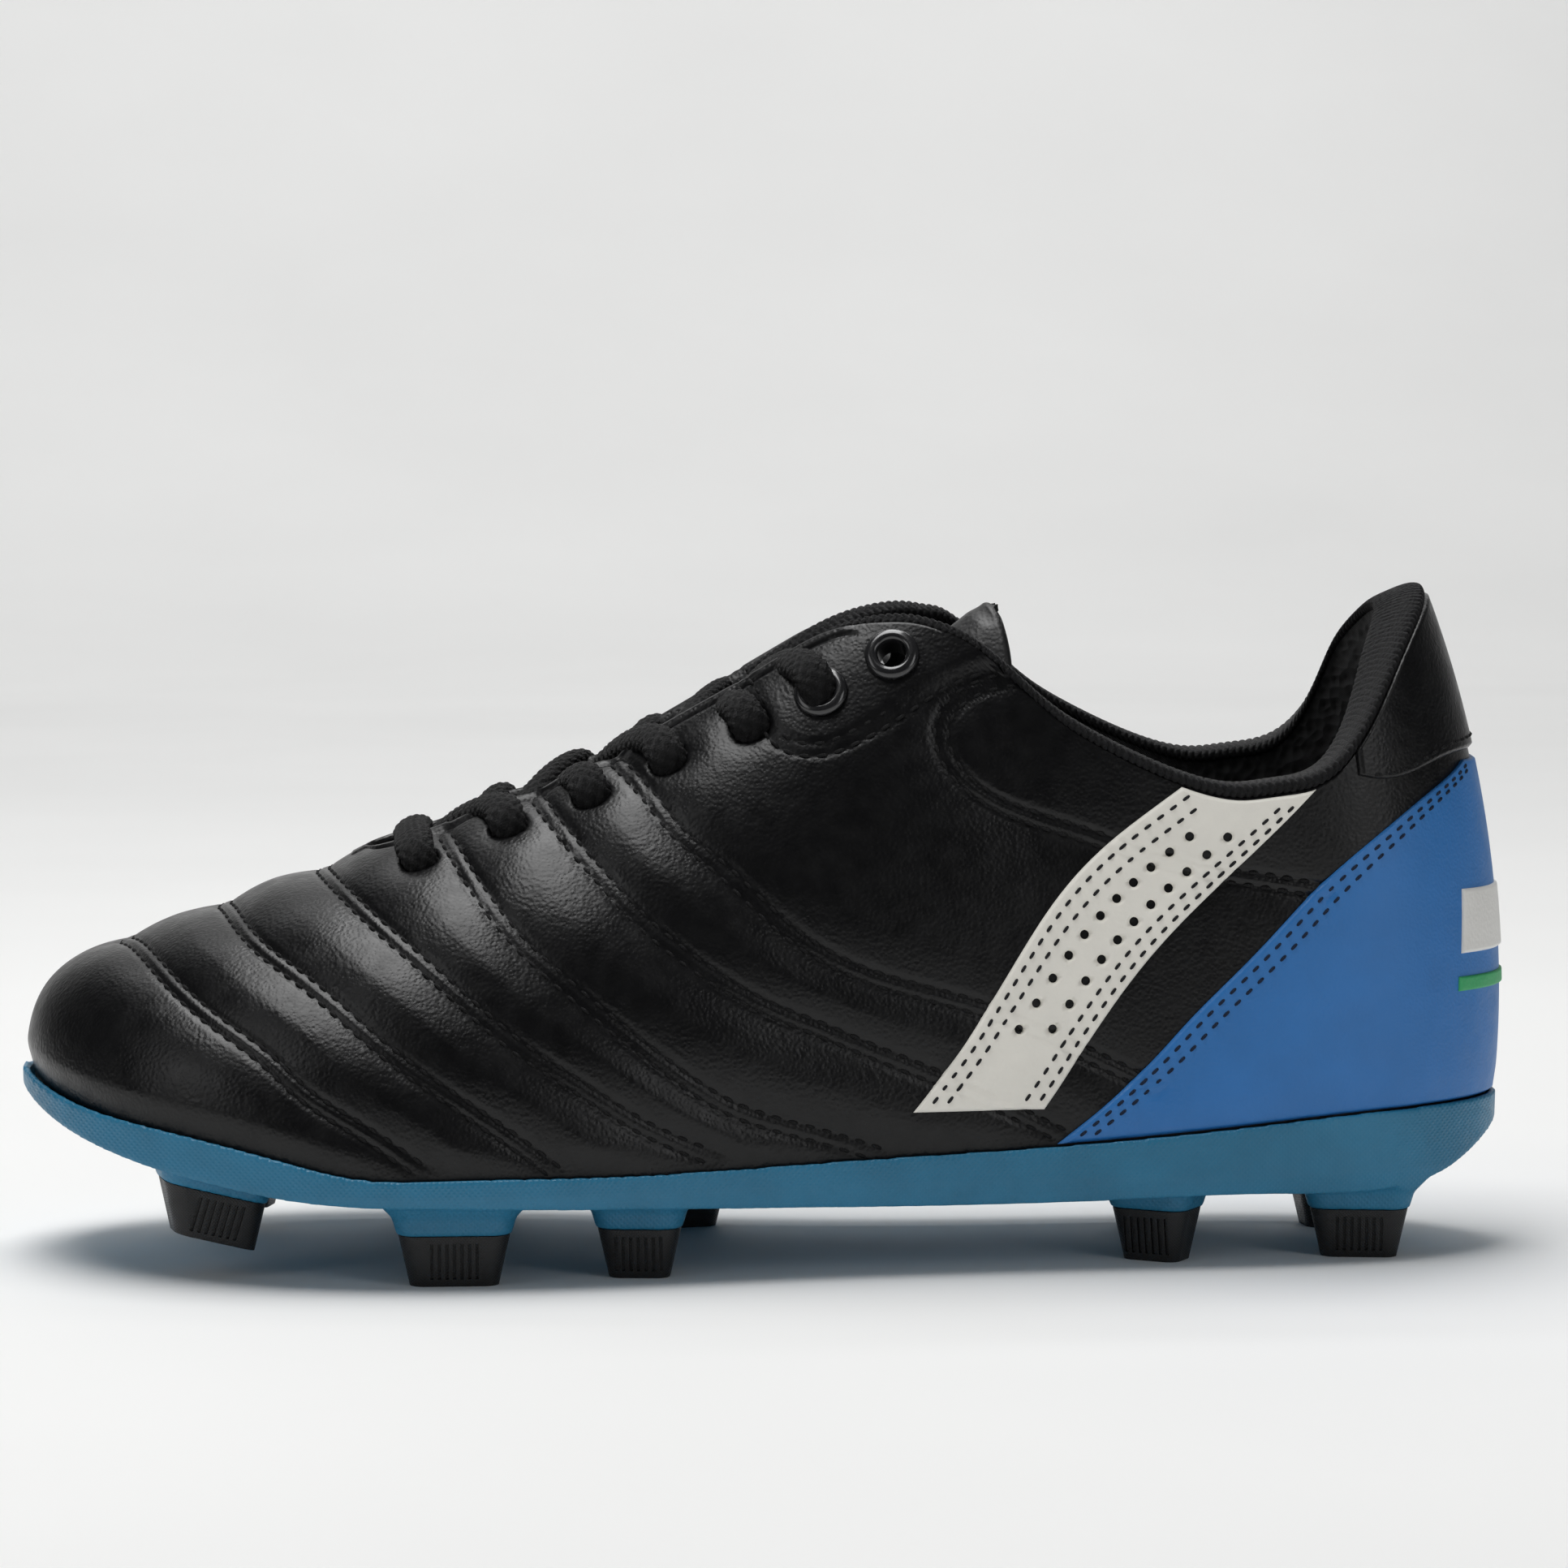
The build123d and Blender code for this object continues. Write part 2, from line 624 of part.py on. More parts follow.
def tail(side):
    """The end of the lace, which goes down inside the shoe along the lining."""
    k = locate(*HOLES[RINGS[0]])[0]
    stops = []
    for t, shift in [(0.44, 1.0), (0.48, 0.75), (0.53, 0.5), (0.59, 0.3), (0.66, 0.1)]:
        rib = k + shift if side == "lateral" else LAST - k - shift
        stops.append(raised(lambda u, v: form(rib + u, v), 0, t, lambda u, v: -(LACE / 2 + 3.2)))
    return stops


def corner_radii(points):
    """As large as the runs allow: 0.45 of the shorter run over the tangent of half the turn."""
    radii = []
    for a, b, c in zip(points, points[1:], points[2:]):
        turn = Vector(*(b - a)).get_angle(Vector(*(c - b)))
        run = min(np.linalg.norm(b - a), np.linalg.norm(c - b))
        radii.append(0.45 * run / math.tan(math.radians(turn) / 2))
    return radii


def lace(points):
    route = FilletPolyline([Vector(*p) for p in points], radius=corner_radii(points))
    start = Plane(origin=route @ 0, z_dir=route % 0)
    return sweep(start * Circle(LACE / 2), path=route, transition=Transition.RIGHT)


def aglet(points):
    """The stiff tip on an end of the lace."""
    end, before = Vector(*points[0]), Vector(*points[1])
    way = (end - before).normalized()
    body = Solid.make_cylinder(LACE / 2 - 0.3, 11, Plane(origin=end + way * 0.05, z_dir=way))
    return fillet(body.edges().sort_by(lambda e: -(e.center() - end).length)[0], 0.6)


# ---------------------------------------------------------------- the sole
def outline(offset, height):
    """The shoe's outline in plan, grown by offset, as a closed wire at a height."""
    points = []
    for k in range(LAST + 1):
        x, y = ribs(k)[:2] + outward(k)[:2] * offset
        points.append((x, y, height))
    points.append((-136.0 - offset, 7.0, height))
    return Wire(Spline([Vector(*p) for p in points], periodic=True))


def slice_of(low, high):
    """All that lies between two heights, each a function of x."""
    xs = np.linspace(-142, 142, 41)
    bottom = Spline([Vector(x, -70, low(x)) for x in xs])
    top = Spline([Vector(x, -70, high(x)) for x in xs])
    ends = [Line(bottom @ 0, top @ 0), Line(bottom @ 1, top @ 1)]
    return Solid.extrude(Face(Wire([bottom, top, *ends])), Vector(0, 140, 0))


def prism(offset):
    return Solid.extrude(Face(outline(offset, -5)), Vector(0, 0, 90))


def rounded_block(x, y, turn, pitch, levels):
    """A tapering block with rounded corners. Each level is a height, a length and a width."""
    base = Location((x, y, 0), (0, 0, turn))
    wires = []
    for height, length, width in levels:
        corner = 0.28 * width
        face = RectangleRounded(length, width, corner).face()
        wires.append((base * Location((0, 0, height), (0, pitch, 0)) * face).outer_wire())
    return Solid.make_loft(wires, ruled=True)


def flank():
    """The outsole's outer shape before its top and bottom are cut."""
    return Solid.make_loft([outline(offset, height) for height, offset in FLANK], ruled=True)


def pedestal(x, y, turn, pitch, top, length, width):
    levels = [(top + 0.05, length + 0.6, width + 0.6), (top + 3.2, length + 2.4, width + 2.4),
              (top + 6.5, length + 8.5, width + 7.0), (top + 9.5, length + 12, width + 9)]
    blocks = []
    for low, high in zip(levels, levels[1:]):
        blocks.append(rounded_block(x, y, turn, pitch, [low, high]))
    return blocks


def outsole_plate():
    sole = flank() & slice_of(plate_height, rim_height)
    extras = [b for s in STUDS for b in pedestal(*s[1:])]
    extras.append(rounded_block(SHANK[0], SHANK[1], 0, 0, SHANK[2]))
    under = flank() & slice_of(lambda x: -1.0, lambda x: rim_height(x) - 3)
    for block in extras:
        sole = sole + (block & under)
    cavity = prism(CAVITY_FIT) & slice_of(lambda x: rim_height(x) - RIM_TUCK - GAP, lambda x: 80.0)
    return sole - cavity


def stud_tip(x, y, turn, pitch, top, length, width):
    """A black stud tip, with fine upright grooves in its outer face."""
    height = TIP_HEIGHT if pitch else top
    foot = (top - height, length - 4.0, width - 2 * TIP_DRAFT)
    tip = rounded_block(x, y, turn, pitch, [foot, (top, length, width)])
    outer = -1 if y < 0 else 1
    lean = -outer * math.degrees(math.atan(TIP_DRAFT / height))
    face = outer * (width - TIP_DRAFT) / 2
    seat = Location((x, y, top - height / 2), (0, 0, turn)) * Location((0, 0, 0), (0, pitch, 0))
    for groove in range(GROOVES):
        place = Location(((groove - GROOVES // 2) * GROOVE_PITCH, face, 0), (lean, 0, 0))
        tip = tip - seat * place * Box(GROOVE_WIDTH, 2 * GROOVE_DEPTH, height * GROOVE_SHARE)
    return tip


def insole_board():
    low, high = -RIM_TUCK + 0.05, -RIM_TUCK + BOARD + 0.05
    return prism(-BOARD_INSET) & slice_of(lambda x: rim_height(x) + low, lambda x: rim_height(x) + high)


def sockliner():
    low = -RIM_TUCK + BOARD + 0.35
    high = low + SOCKLINER
    return prism(-SOCK_INSET) & slice_of(lambda x: rim_height(x) + low, lambda x: rim_height(x) + high)


# ---------------------------------------------------------------- the whole shoe
def nodes():
    """Every piece, by name."""
    pieces = {"outsole_plate": outsole_plate(), "insole_board": insole_board(), "sockliner": sockliner()}
    for name, *place in STUDS:
        pieces[f"stud_tip_{name}"] = stud_tip(*place)
    pieces["toe_puff"] = toe_puff()
    pieces["vamp"] = vamp()
    pieces["vamp_lining"] = vamp_lining()
    for side in ("lateral", "medial"):
        pieces[f"quarter_{side}"] = quarter(side)
        pieces[f"quarter_lining_{side}"] = quarter_lining(side)
        pieces[f"eyestay_{side}"] = eyestay(side)
        pieces[f"side_strap_{side}"] = side_strap(side)
        for index in RINGS:
            pieces[f"eyelet_{side}_{index + 1}"] = eyelet(index, side)
    pieces["heel_counter"] = heel_counter()
    pieces["heel_overlay"] = heel_overlay()
    pieces["heel_tab"] = heel_tab()
    pieces["heel_badge"] = heel_trim(*HEEL_BADGE)
    pieces["heel_stripe"] = heel_trim(*HEEL_STRIPE)
    pieces["collar_foam"] = collar_foam()
    pieces["collar_lining"] = collar_lining()
    pieces["collar_binding"] = collar_binding()
    pieces["tongue_face"] = tongue_layer(0, -1.2)
    pieces["tongue_foam"] = tongue_layer(-1.35, -5.0)
    pieces["tongue_lining"] = tongue_layer(-5.15, -5.9)
    route = lace_points()
    print("lace bend radii", [round(r, 1) for r in corner_radii(route)])
    pieces["lace"] = lace(route)
    pieces["aglet_lateral"] = aglet(route)
    pieces["aglet_medial"] = aglet(route[::-1])
    return pieces


os.makedirs("parts", exist_ok=True)
for node_name, piece in nodes().items():
    export_step(piece, f"parts/{node_name}.step")
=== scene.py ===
"""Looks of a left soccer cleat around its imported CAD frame.

Tables and surface points are millimetres in the row frame: the toe points along -X, the lateral side is at
-Y. Meshes are written in metres. A point of the upper is named by a rib number k, which runs from the
lateral toe round the heel to the medial toe, and by t, 0 at the sole edge and 1 at the top of the foot.
"""

import math

import bpy
import numpy as np
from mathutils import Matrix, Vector, kdtree, noise


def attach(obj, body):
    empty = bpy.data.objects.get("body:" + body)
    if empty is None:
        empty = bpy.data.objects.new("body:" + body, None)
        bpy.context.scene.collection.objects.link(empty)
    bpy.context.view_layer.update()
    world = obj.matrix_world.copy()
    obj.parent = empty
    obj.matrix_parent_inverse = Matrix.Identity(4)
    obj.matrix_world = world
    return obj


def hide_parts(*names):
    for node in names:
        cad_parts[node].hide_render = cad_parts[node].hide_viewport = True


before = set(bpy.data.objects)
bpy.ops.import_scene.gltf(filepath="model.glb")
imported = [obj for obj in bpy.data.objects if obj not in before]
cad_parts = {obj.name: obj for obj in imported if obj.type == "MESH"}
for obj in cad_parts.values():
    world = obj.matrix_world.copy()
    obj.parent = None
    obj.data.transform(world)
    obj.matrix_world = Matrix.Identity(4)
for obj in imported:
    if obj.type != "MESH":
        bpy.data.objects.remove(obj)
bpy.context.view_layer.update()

MM = 0.001
HEEL = 18
LAST = 36
SEAM = 7.15
LEATHER = 1.3
GAP = 0.15
OVERLAY = 1.1
LINING = 0.75
COUNTER = 1.5
LACE = 4.4
CROSSING = 2.7  # how far a lace lies above or below the middle where two of them cross
RIM_TUCK = 4.0
THROAT_END = (-66.0, 3.2, 7.6)
THROAT_FRONT = 6.1  # no rib ahead of this one reaches the throat
MEDIAL_RISE = 2.5
RINGS = (5, 6)
COLLAR_FRONT = 12.25  # rib at which the padded collar starts
BINDING_FRONT = 9.8  # rib at which the collar's binding starts
TAB_FRONT = 14.75  # rib at which the heel tab starts

# ---------------------------------------- camera, floor and light
CAMERA_AT = (-66.5, -1000.0, 167.0)
CAMERA_TO = (3.3, 0.0, 86.5)
LENS = 124.06


def look(obj, place, target):
    obj.location = Vector(place) * MM
    obj.rotation_euler = (Vector(target) - Vector(place)).to_track_quat("-Z", "Y").to_euler()


def linked(name, data):
    obj = bpy.data.objects.new(name, data)
    bpy.context.scene.collection.objects.link(obj)
    return obj


camera = linked("camera", bpy.data.cameras.new("camera"))
camera.data.lens = LENS
camera.data.sensor_width = 36
camera.data.clip_start = 0.05
camera.data.clip_end = 30
look(camera, CAMERA_AT, CAMERA_TO)
bpy.context.scene.camera = camera


def softbox(name, place, target, size, power):
    lamp = bpy.data.lights.new(name, "AREA")
    lamp.shape = "RECTANGLE"
    lamp.size, lamp.size_y = size
    lamp.energy = power
    look(linked(name, lamp), place, target)


softbox("light_top", (-150, 60, 1250), (-20, 0, 50), (1.2, 0.6), 15)
softbox("light_front_left", (-1100, -700, 650), (-80, 0, 60), (0.5, 0.8), 1.8)
softbox("light_front_right", (900, -900, 500), (100, 0, 70), (0.5, 0.8), 2.3)
softbox("light_wall", (0, 1700, 2300), (0, 3200, 500), (3.0, 0.8), 42)


# ---------------------------------------- materials
def srgb(r, g, b):
    """A display colour from 0 to 255 as linear RGBA."""
    out = []
    for c in (r, g, b):
        c /= 255
        out.append(c / 12.92 if c < 0.04045 else ((c + 0.055) / 1.055) ** 2.4)
    return (*out, 1.0)


class Finish:
    """A node material: the helpers add nodes and return output sockets. Scales are per metre."""

    def __init__(self, name, **sockets):
        self.material = bpy.data.materials.new(name)
        self.material.use_nodes = True
        self.tree = self.material.node_tree
        self.shader = self.tree.nodes["Principled BSDF"]
        for socket, value in sockets.items():
            self.shader.inputs[socket.replace("_", " ")].default_value = value
        self.place = self.node("ShaderNodeTexCoord").outputs["Object"]

    def node(self, kind, inputs=(), **settings):
        made = self.tree.nodes.new(kind)
        for key, value in settings.items():
            setattr(made, key, value)
        for key, value in dict(inputs).items():
            self.feed(made.inputs[key], value)
        return made

    def feed(self, socket, value):
        if isinstance(value, bpy.types.NodeSocket):
            self.tree.links.new(value, socket)
        else:
            socket.default_value = value

    def noise(self, scale, detail=3.0, rough=0.55):
        inputs = {"Vector": self.place, "Scale": scale, "Detail": detail, "Roughness": rough}
        return self.node("ShaderNodeTexNoise", inputs).outputs["Fac"]

    def cells(self, scale, feature="F1"):
        inputs = {"Vector": self.place, "Scale": scale}
        return self.node("ShaderNodeTexVoronoi", inputs, feature=feature).outputs["Distance"]

    def bands(self, scale, turn, distortion=0.0):
        turned = self.node("ShaderNodeMapping", {"Vector": self.place, "Rotation": turn}).outputs[0]
        inputs = {"Vector": turned, "Scale": scale, "Distortion": distortion, "Detail": 1.0}
        return self.node("ShaderNodeTexWave", inputs).outputs["Fac"]

    def maths(self, operation, a, b):
        return self.node("ShaderNodeMath", {0: a, 1: b}, operation=operation).outputs[0]

    def remap(self, value, low, high, to_low, to_high):
        names = ("Value", "From Min", "From Max", "To Min", "To Max")
        inputs = dict(zip(names, (value, low, high, to_low, to_high)))
        return self.node("ShaderNodeMapRange", inputs).outputs["Result"]

    def colours(self, value, *stops):
        ramp = self.node("ShaderNodeValToRGB", {"Fac": value})
        elements = ramp.color_ramp.elements
        while len(elements) < len(stops):
            elements.new(0.5)
        for element, (place, colour) in zip(elements, stops):
            element.position = place
            element.color = colour
        return ramp.outputs["Color"]

    def bump(self, height, distance, strength=1.0, under=None):
        inputs = {"Height": height, "Distance": distance, "Strength": strength}
        if under is not None:
            inputs["Normal"] = under
        return self.node("ShaderNodeBump", inputs).outputs["Normal"]

    def end(self, colour=None, rough=None, normal=None):
        for key, value in (("Base Color", colour), ("Roughness", rough), ("Normal", normal)):
            if value is not None:
                self.feed(self.shader.inputs[key], value)
        return self.material


def dim(colour, share):
    return tuple(c * share for c in colour[:3]) + (1.0,)


def grained(name, colour, rough, grain=1500.0, depth=0.00011, uneven=0.14, **sockets):
    """Coated synthetic leather: pebbled grain, fine pores, uneven gloss and soft handling marks."""
    f = Finish(name, **sockets)
    pebbles = f.cells(grain, "SMOOTH_F1")
    pores = f.noise(3800.0, 2.0)
    soft = f.noise(90.0, 4.0)
    tone = f.colours(soft, (0.3, dim(colour, 1 - uneven)), (0.7, dim(colour, 1 + uneven)))
    shine = f.remap(f.noise(260.0, 3.0), 0.3, 0.7, rough - 0.05, rough + 0.06)
    low = f.bump(soft, 0.0004, 0.2)
    mid = f.bump(pebbles, depth, 0.65, low)
    return f.end(tone, shine, f.bump(pores, 0.00004, 0.4, mid))


def woven(name, colour, pitch, depth, rough=0.85, holes=0.35, **sockets):
    """A spacer-mesh textile: rounded cells with openings between the yarns; the openings are darkened with
    painted shade and the yarn crowns are brightened with a painted highlight.
    """
    f = Finish(name, **sockets)
    knots = f.cells(1 / pitch, "F1")
    yarn = f.bands(2.2 / pitch, (0.5, 0.6, 0.785), distortion=1.2)
    # Painted shade and highlight: the colour drops to the share holes in the openings and rises to 1.5
    # times on the yarn crowns, following the bump's height.
    tone = f.colours(knots, (0.18, dim(colour, holes)), (0.5, colour), (0.8, dim(colour, 1.5)))
    fuzz = f.noise(5200.0, 2.0)
    low = f.bump(knots, depth, 1.0)
    mid = f.bump(yarn, depth * 0.4, 0.7, low)
    return f.end(tone, rough, f.bump(fuzz, 0.00008, 0.6, mid))


def moulded_rubber(name, colour, rough, knurl):
    """Moulded plastic: a satin face with a fine crossed knurl and slight flow marks."""
    f = Finish(name, IOR=1.5)
    cross = f.maths("MULTIPLY", f.bands(knurl, (0, 0.785, 0)), f.bands(knurl, (0, -0.785, 0)))
    flow = f.noise(60.0, 3.0)
    tone = f.colours(flow, (0.3, dim(colour, 0.86)), (0.72, dim(colour, 1.12)))
    scuff = f.noise(900.0, 4.0, 0.7)
    low = f.bump(cross, 0.00012, 0.55)
    shine = f.remap(f.noise(400.0, 2.0), 0.3, 0.7, rough - 0.05, rough + 0.07)
    return f.end(tone, shine, f.bump(scuff, 0.00006, 0.5, low))


def fibrous(name, colour):
    """Pressed fibre board, foam or felt."""
    f = Finish(name)
    clumps = f.noise(700.0, 5.0, 0.7)
    tone = f.colours(clumps, (0.3, dim(colour, 0.7)), (0.7, dim(colour, 1.2)))
    return f.end(tone, 0.9, f.bump(clumps, 0.0003, 0.7))


BLACK = (0.0028, 0.0028, 0.0032, 1.0)
WHITE = srgb(244, 241, 232)
HEEL_BLUE = srgb(44, 116, 186)
SOLE_BLUE = srgb(36, 116, 152)

leather = grained("black_leather", BLACK, 0.33, Specular_IOR_Level=0.34)
tongue_leather = grained("tongue_leather", BLACK, 0.46, Specular_IOR_Level=0.5)
white = grained("white_leather", WHITE, 0.5, grain=1300.0, depth=0.0001, uneven=0.04)
blue = grained("blue_leather", HEEL_BLUE, 0.46, grain=1700.0, depth=0.0001, uneven=0.05)
green = grained("green_trim", srgb(56, 168, 104), 0.5, uneven=0.04)
badge_white = grained("white_trim", srgb(235, 234, 230), 0.42, uneven=0.03)
sole_blue = moulded_rubber("outsole_blue", SOLE_BLUE, 0.42, 420.0)
stud_black = moulded_rubber("stud_black", (0.005, 0.005, 0.0055, 1), 0.42, 800.0)
# holes sets how dark the painted shade in the mesh openings is.
mesh_lining = woven("collar_mesh", (0.016, 0.016, 0.017, 1), 0.0019, 0.0007, rough=0.6, holes=0.15)
plain_lining = woven("lining", (0.014, 0.014, 0.015, 1), 0.0009, 0.0002)
edge_textile = woven("binding", (0.006, 0.006, 0.007, 1), 0.0006, 0.0002, rough=0.6, Specular_IOR_Level=0.3)
lace_yarn = woven("lace_cord", (0.0022, 0.0022, 0.0026, 1), 0.0004, 0.00015, rough=0.52,
                  Specular_IOR_Level=0.24)
sock_fabric = woven("sockliner_foam", (0.013, 0.014, 0.018, 1), 0.0011, 0.0002)
board = fibrous("board", srgb(176, 158, 128))
stiff = fibrous("stiffener", srgb(205, 200, 190))


def smooth_gloss(name, colour, rough, coat):
    f = Finish(name, Coat_Weight=coat, Coat_Roughness=0.1)
    worn = f.remap(f.noise(400.0, 2.0), 0.35, 0.7, rough - 0.02, rough + 0.05)
    tone = f.colours(f.noise(300.0), (0.3, dim(colour, 0.85)), (0.7, dim(colour, 1.2)))
    return f.end(tone, worn, f.bump(f.noise(900.0), 0.00001, 0.2))


ring_black = smooth_gloss("eyelet_black", (0.010, 0.010, 0.011, 1), 0.22, 0.6)
aglet_clear = smooth_gloss("aglet_plastic", (0.014, 0.014, 0.016, 1), 0.25, 0.4)


def thread(name, colour):
    f = Finish(name, Specular_IOR_Level=0.25)
    ply = f.bands(1400.0, (0.4, 0.3, 0.9), distortion=0.6)
    # Painted shade and highlight: the thread is darker in the grooves between its plies and lighter on
    # their crowns, following the bump.
    tone = f.colours(ply, (0.2, dim(colour, 0.6)), (0.8, dim(colour, 1.3)))
    return f.end(tone, 0.7, f.bump(ply, 0.0001, 0.8))


black_thread = thread("black_thread", (0.008, 0.008, 0.0085, 1))
dark_thread = thread("dark_thread", (0.016, 0.016, 0.018, 1))
navy_thread = thread("navy_thread", (0.012, 0.022, 0.05, 1))

# ---------------------------------------- the foot form, as in the CAD
# Ribs of the lateral side, toe to heel: sole edge x, y; top x, y, z; how far the rib swells out low down
# and how high that is; and the pull on its upper part in x, y, z.
LATERAL_RIBS = [
    (-134.6, -2.0, -135.9, 7.0, 32.0, 0.0, 1.0, 0, -3, 0),
    (-131.0, -12.0, -136.2, 7.0, 40.0, 1.0, 6.0, 0, -9, 0),
    (-125.0, -22.0, -132.5, 7.0, 49.5, 1.0, 12.0, 0, -15, 0),
    (-115.0, -32.0, -122.0, 6.5, 56.5, 1.5, 18.0, 0, -22, 0),
    (-100.0, -40.5, -107.0, 6.0, 62.0, 2.0, 23.0, 0, -27, 0),
    (-82.0, -46.5, -92.0, 5.0, 67.5, 2.0, 27.0, 0, -30, 0),
    (-62.0, -48.8, -78.0, 4.0, 72.5, 2.0, 30.0, 0, -32, 0),
    (-40.0, -47.3, -62.0, 3.0, 79.3, 2.0, 35.0, 0, -31, 0),
    (-18.0, -43.5, -42.0, 2.0, 87.5, 2.0, 40.0, 0, -30, 0),
    (4.0, -39.5, -22.0, 1.0, 98.0, 2.0, 44.0, 0, -30, 0),
    (26.0, -36.8, 0.0, 0.0, 112.5, 2.0, 46.0, 0, -29, 0),
    (46.0, -35.0, 20.0, 0.0, 127.0, 1.0, 46.0, 0, -27, 0),
    (64.0, -34.0, 41.0, -14.0, 134.0, 0.0, 44.0, 0, -12, -20),
    (82.0, -33.2, 64.0, -25.0, 133.0, 0.0, 40.0, 0, -4, -32),
    (100.0, -30.8, 88.0, -28.0, 133.0, 1.0, 36.0, 1, -3, -34),
    (115.0, -26.3, 104.0, -24.0, 132.0, 2.0, 34.0, 4, -5, -34),
    (126.0, -18.5, 113.0, -16.0, 130.0, 3.0, 34.0, 8, -7, -33),
    (133.0, -9.0, 118.0, -8.0, 128.5, 4.0, 34.0, 12, -4, -32),
    (135.3, 0.0, 119.5, 0.0, 128.0, 4.2, 34.0, 13.5, 0, -31),
]
# The medial side's sole edge x, y, toe to heel, and how much more the arch swells out
MEDIAL_EDGE = [
    (-134.3, 16.0, 0), (-130.5, 24.0, 0), (-124.0, 31.0, 0), (-114.0, 37.0, 0), (-99.0, 41.8, 0),
    (-81.0, 45.0, 0), (-61.0, 45.5, 1), (-40.0, 42.5, 2), (-19.0, 36.5, 4), (3.0, 31.5, 5),
    (25.0, 29.0, 5), (45.0, 29.0, 3), (64.0, 30.0, 2), (82.0, 31.0, 1), (100.0, 30.0, 0),
    (115.0, 26.3, 0), (126.0, 18.5, 0), (133.0, 9.0, 0),
]
RIM = [(-138, 34.6), (-130, 31.8), (-112, 28.2), (-88, 23.2), (-77, 20.8), (-60, 20.4), (-25, 20.4),
       (16, 21.8), (52, 23.4), (86, 26.2), (104, 27.8), (118, 28.5), (139, 28.6)]
COLLAR = [(-80, 150), (-20, 137), (6, 127.5), (16, 122.6), (23.8, 120.9), (29.5, 118.9), (35.3, 115.3),
          (41, 111), (49.7, 103.1), (58.4, 97.4), (67.2, 93), (76, 89.6), (83.4, 88.2), (91, 88.9),
          (101.9, 92.6), (108.7, 101.8), (114, 112), (119.5, 120.6), (124, 127)]
THROAT_HALF = [(-80, 7.0), (-66, 7.6), (-30, 9.2), (10, 12.0), (24, 14.0), (40, 16.0)]
# Lace holes on the lateral side: x, z
HOLES = [(-64.3, 73.9), (-48.1, 80.1), (-32.9, 85.8), (-18.9, 92.2), (-3.9, 98.4), (8.9, 104.3),
         (21.8, 111.1)]
HOLE_RADIUS, RING_RADIUS, VENT_RADIUS = 3.1, 3.3, 0.85
# Side band: x where it meets the sole, and x, z of its corners at the collar
STRAP_FOOT = [24.0, 36.0, 48.0]
STRAP_HEAD = [(74, 86), (98, 87)]
# The blue heel overlay's front edge as z, x, and its top z
OVERLAY_FRONT = [(24, 51), (34.1, 63.5), (46.2, 75.2), (57.9, 87.1), (70.4, 99.4), (80.7, 112.3), (92, 129)]
OVERLAY_TOP = 91.3
TAB_LOW = [(98, 94), (104, 90.6), (109, 89.2), (115, 89.6), (122, 92), (132, 93.2)]  # lower edge x, z
# Strips across the heel: front rib, low t, high t, slant in ribs
HEEL_BADGE = (16.1, 0.30, 0.41, 0.12)
HEEL_STRIPE = (15.95, 0.235, 0.26, 0.02)


def spline(knots, values):
    """The natural cubic spline through values at knots, for arrays of places."""
    t = np.asarray(knots, float)
    v = np.asarray(values, float).reshape(len(t), -1)
    h = np.diff(t)
    n = len(t)
    system = np.eye(n)
    right = np.zeros_like(v)
    for i in range(1, n - 1):
        system[i, i - 1 : i + 2] = h[i - 1], 2 * (h[i - 1] + h[i]), h[i]
        right[i] = 6 * ((v[i + 1] - v[i]) / h[i] - (v[i] - v[i - 1]) / h[i - 1])
    bend = np.linalg.solve(system, right)

    def at(x):
        x = np.asarray(x, float)
        i = np.clip(np.searchsorted(t, x) - 1, 0, n - 2)
        a = ((t[i + 1] - x) / h[i])[..., None]
        b = ((x - t[i]) / h[i])[..., None]
        cubic = (a**3 - a) * bend[i] + (b**3 - b) * bend[i + 1]
        value = a * v[i] + b * v[i + 1] + cubic * (h[i] ** 2 / 6)[..., None]
        return value[..., 0] if v.shape[1] == 1 else value

    return at


def along(points):
    return spline(*zip(*points))


def step(x, low, high):
    s = np.clip((np.asarray(x, float) - low) / (high - low), 0, 1)
    return s * s * (3 - 2 * s)


def mix(a, b, s):
    return a + (b - a) * s


def unit(v):
    return v / np.maximum(np.linalg.norm(v, axis=-1, keepdims=True), 1e-12)


def run_length(points):
    """How far along a line each of its points lies."""
    return np.concatenate([[0], np.cumsum(np.linalg.norm(np.diff(points, axis=0), axis=1))])


def at_length(places, gone, points):
    return np.stack([np.interp(places, gone, points[:, i]) for i in range(3)], -1)


rim_height = along(RIM)
collar_height = along(COLLAR)
throat_half = along(THROAT_HALF)
ridge_y = spline(*zip(*[(r[2], r[3]) for r in LATERAL_RIBS[1:12]]))


def rib_rows():
    rows = [list(r) for r in LATERAL_RIBS]
    for (x, y, swell), r in reversed(list(zip(MEDIAL_EDGE, LATERAL_RIBS))):
        top_y = r[3] if r[2] < 25 else -r[3]
        rows.append([x, y, r[2], top_y, r[4], r[5] + swell, r[6], r[7], -r[8], r[9]])
    return rows


ribs = spline(range(LAST + 1), rib_rows())


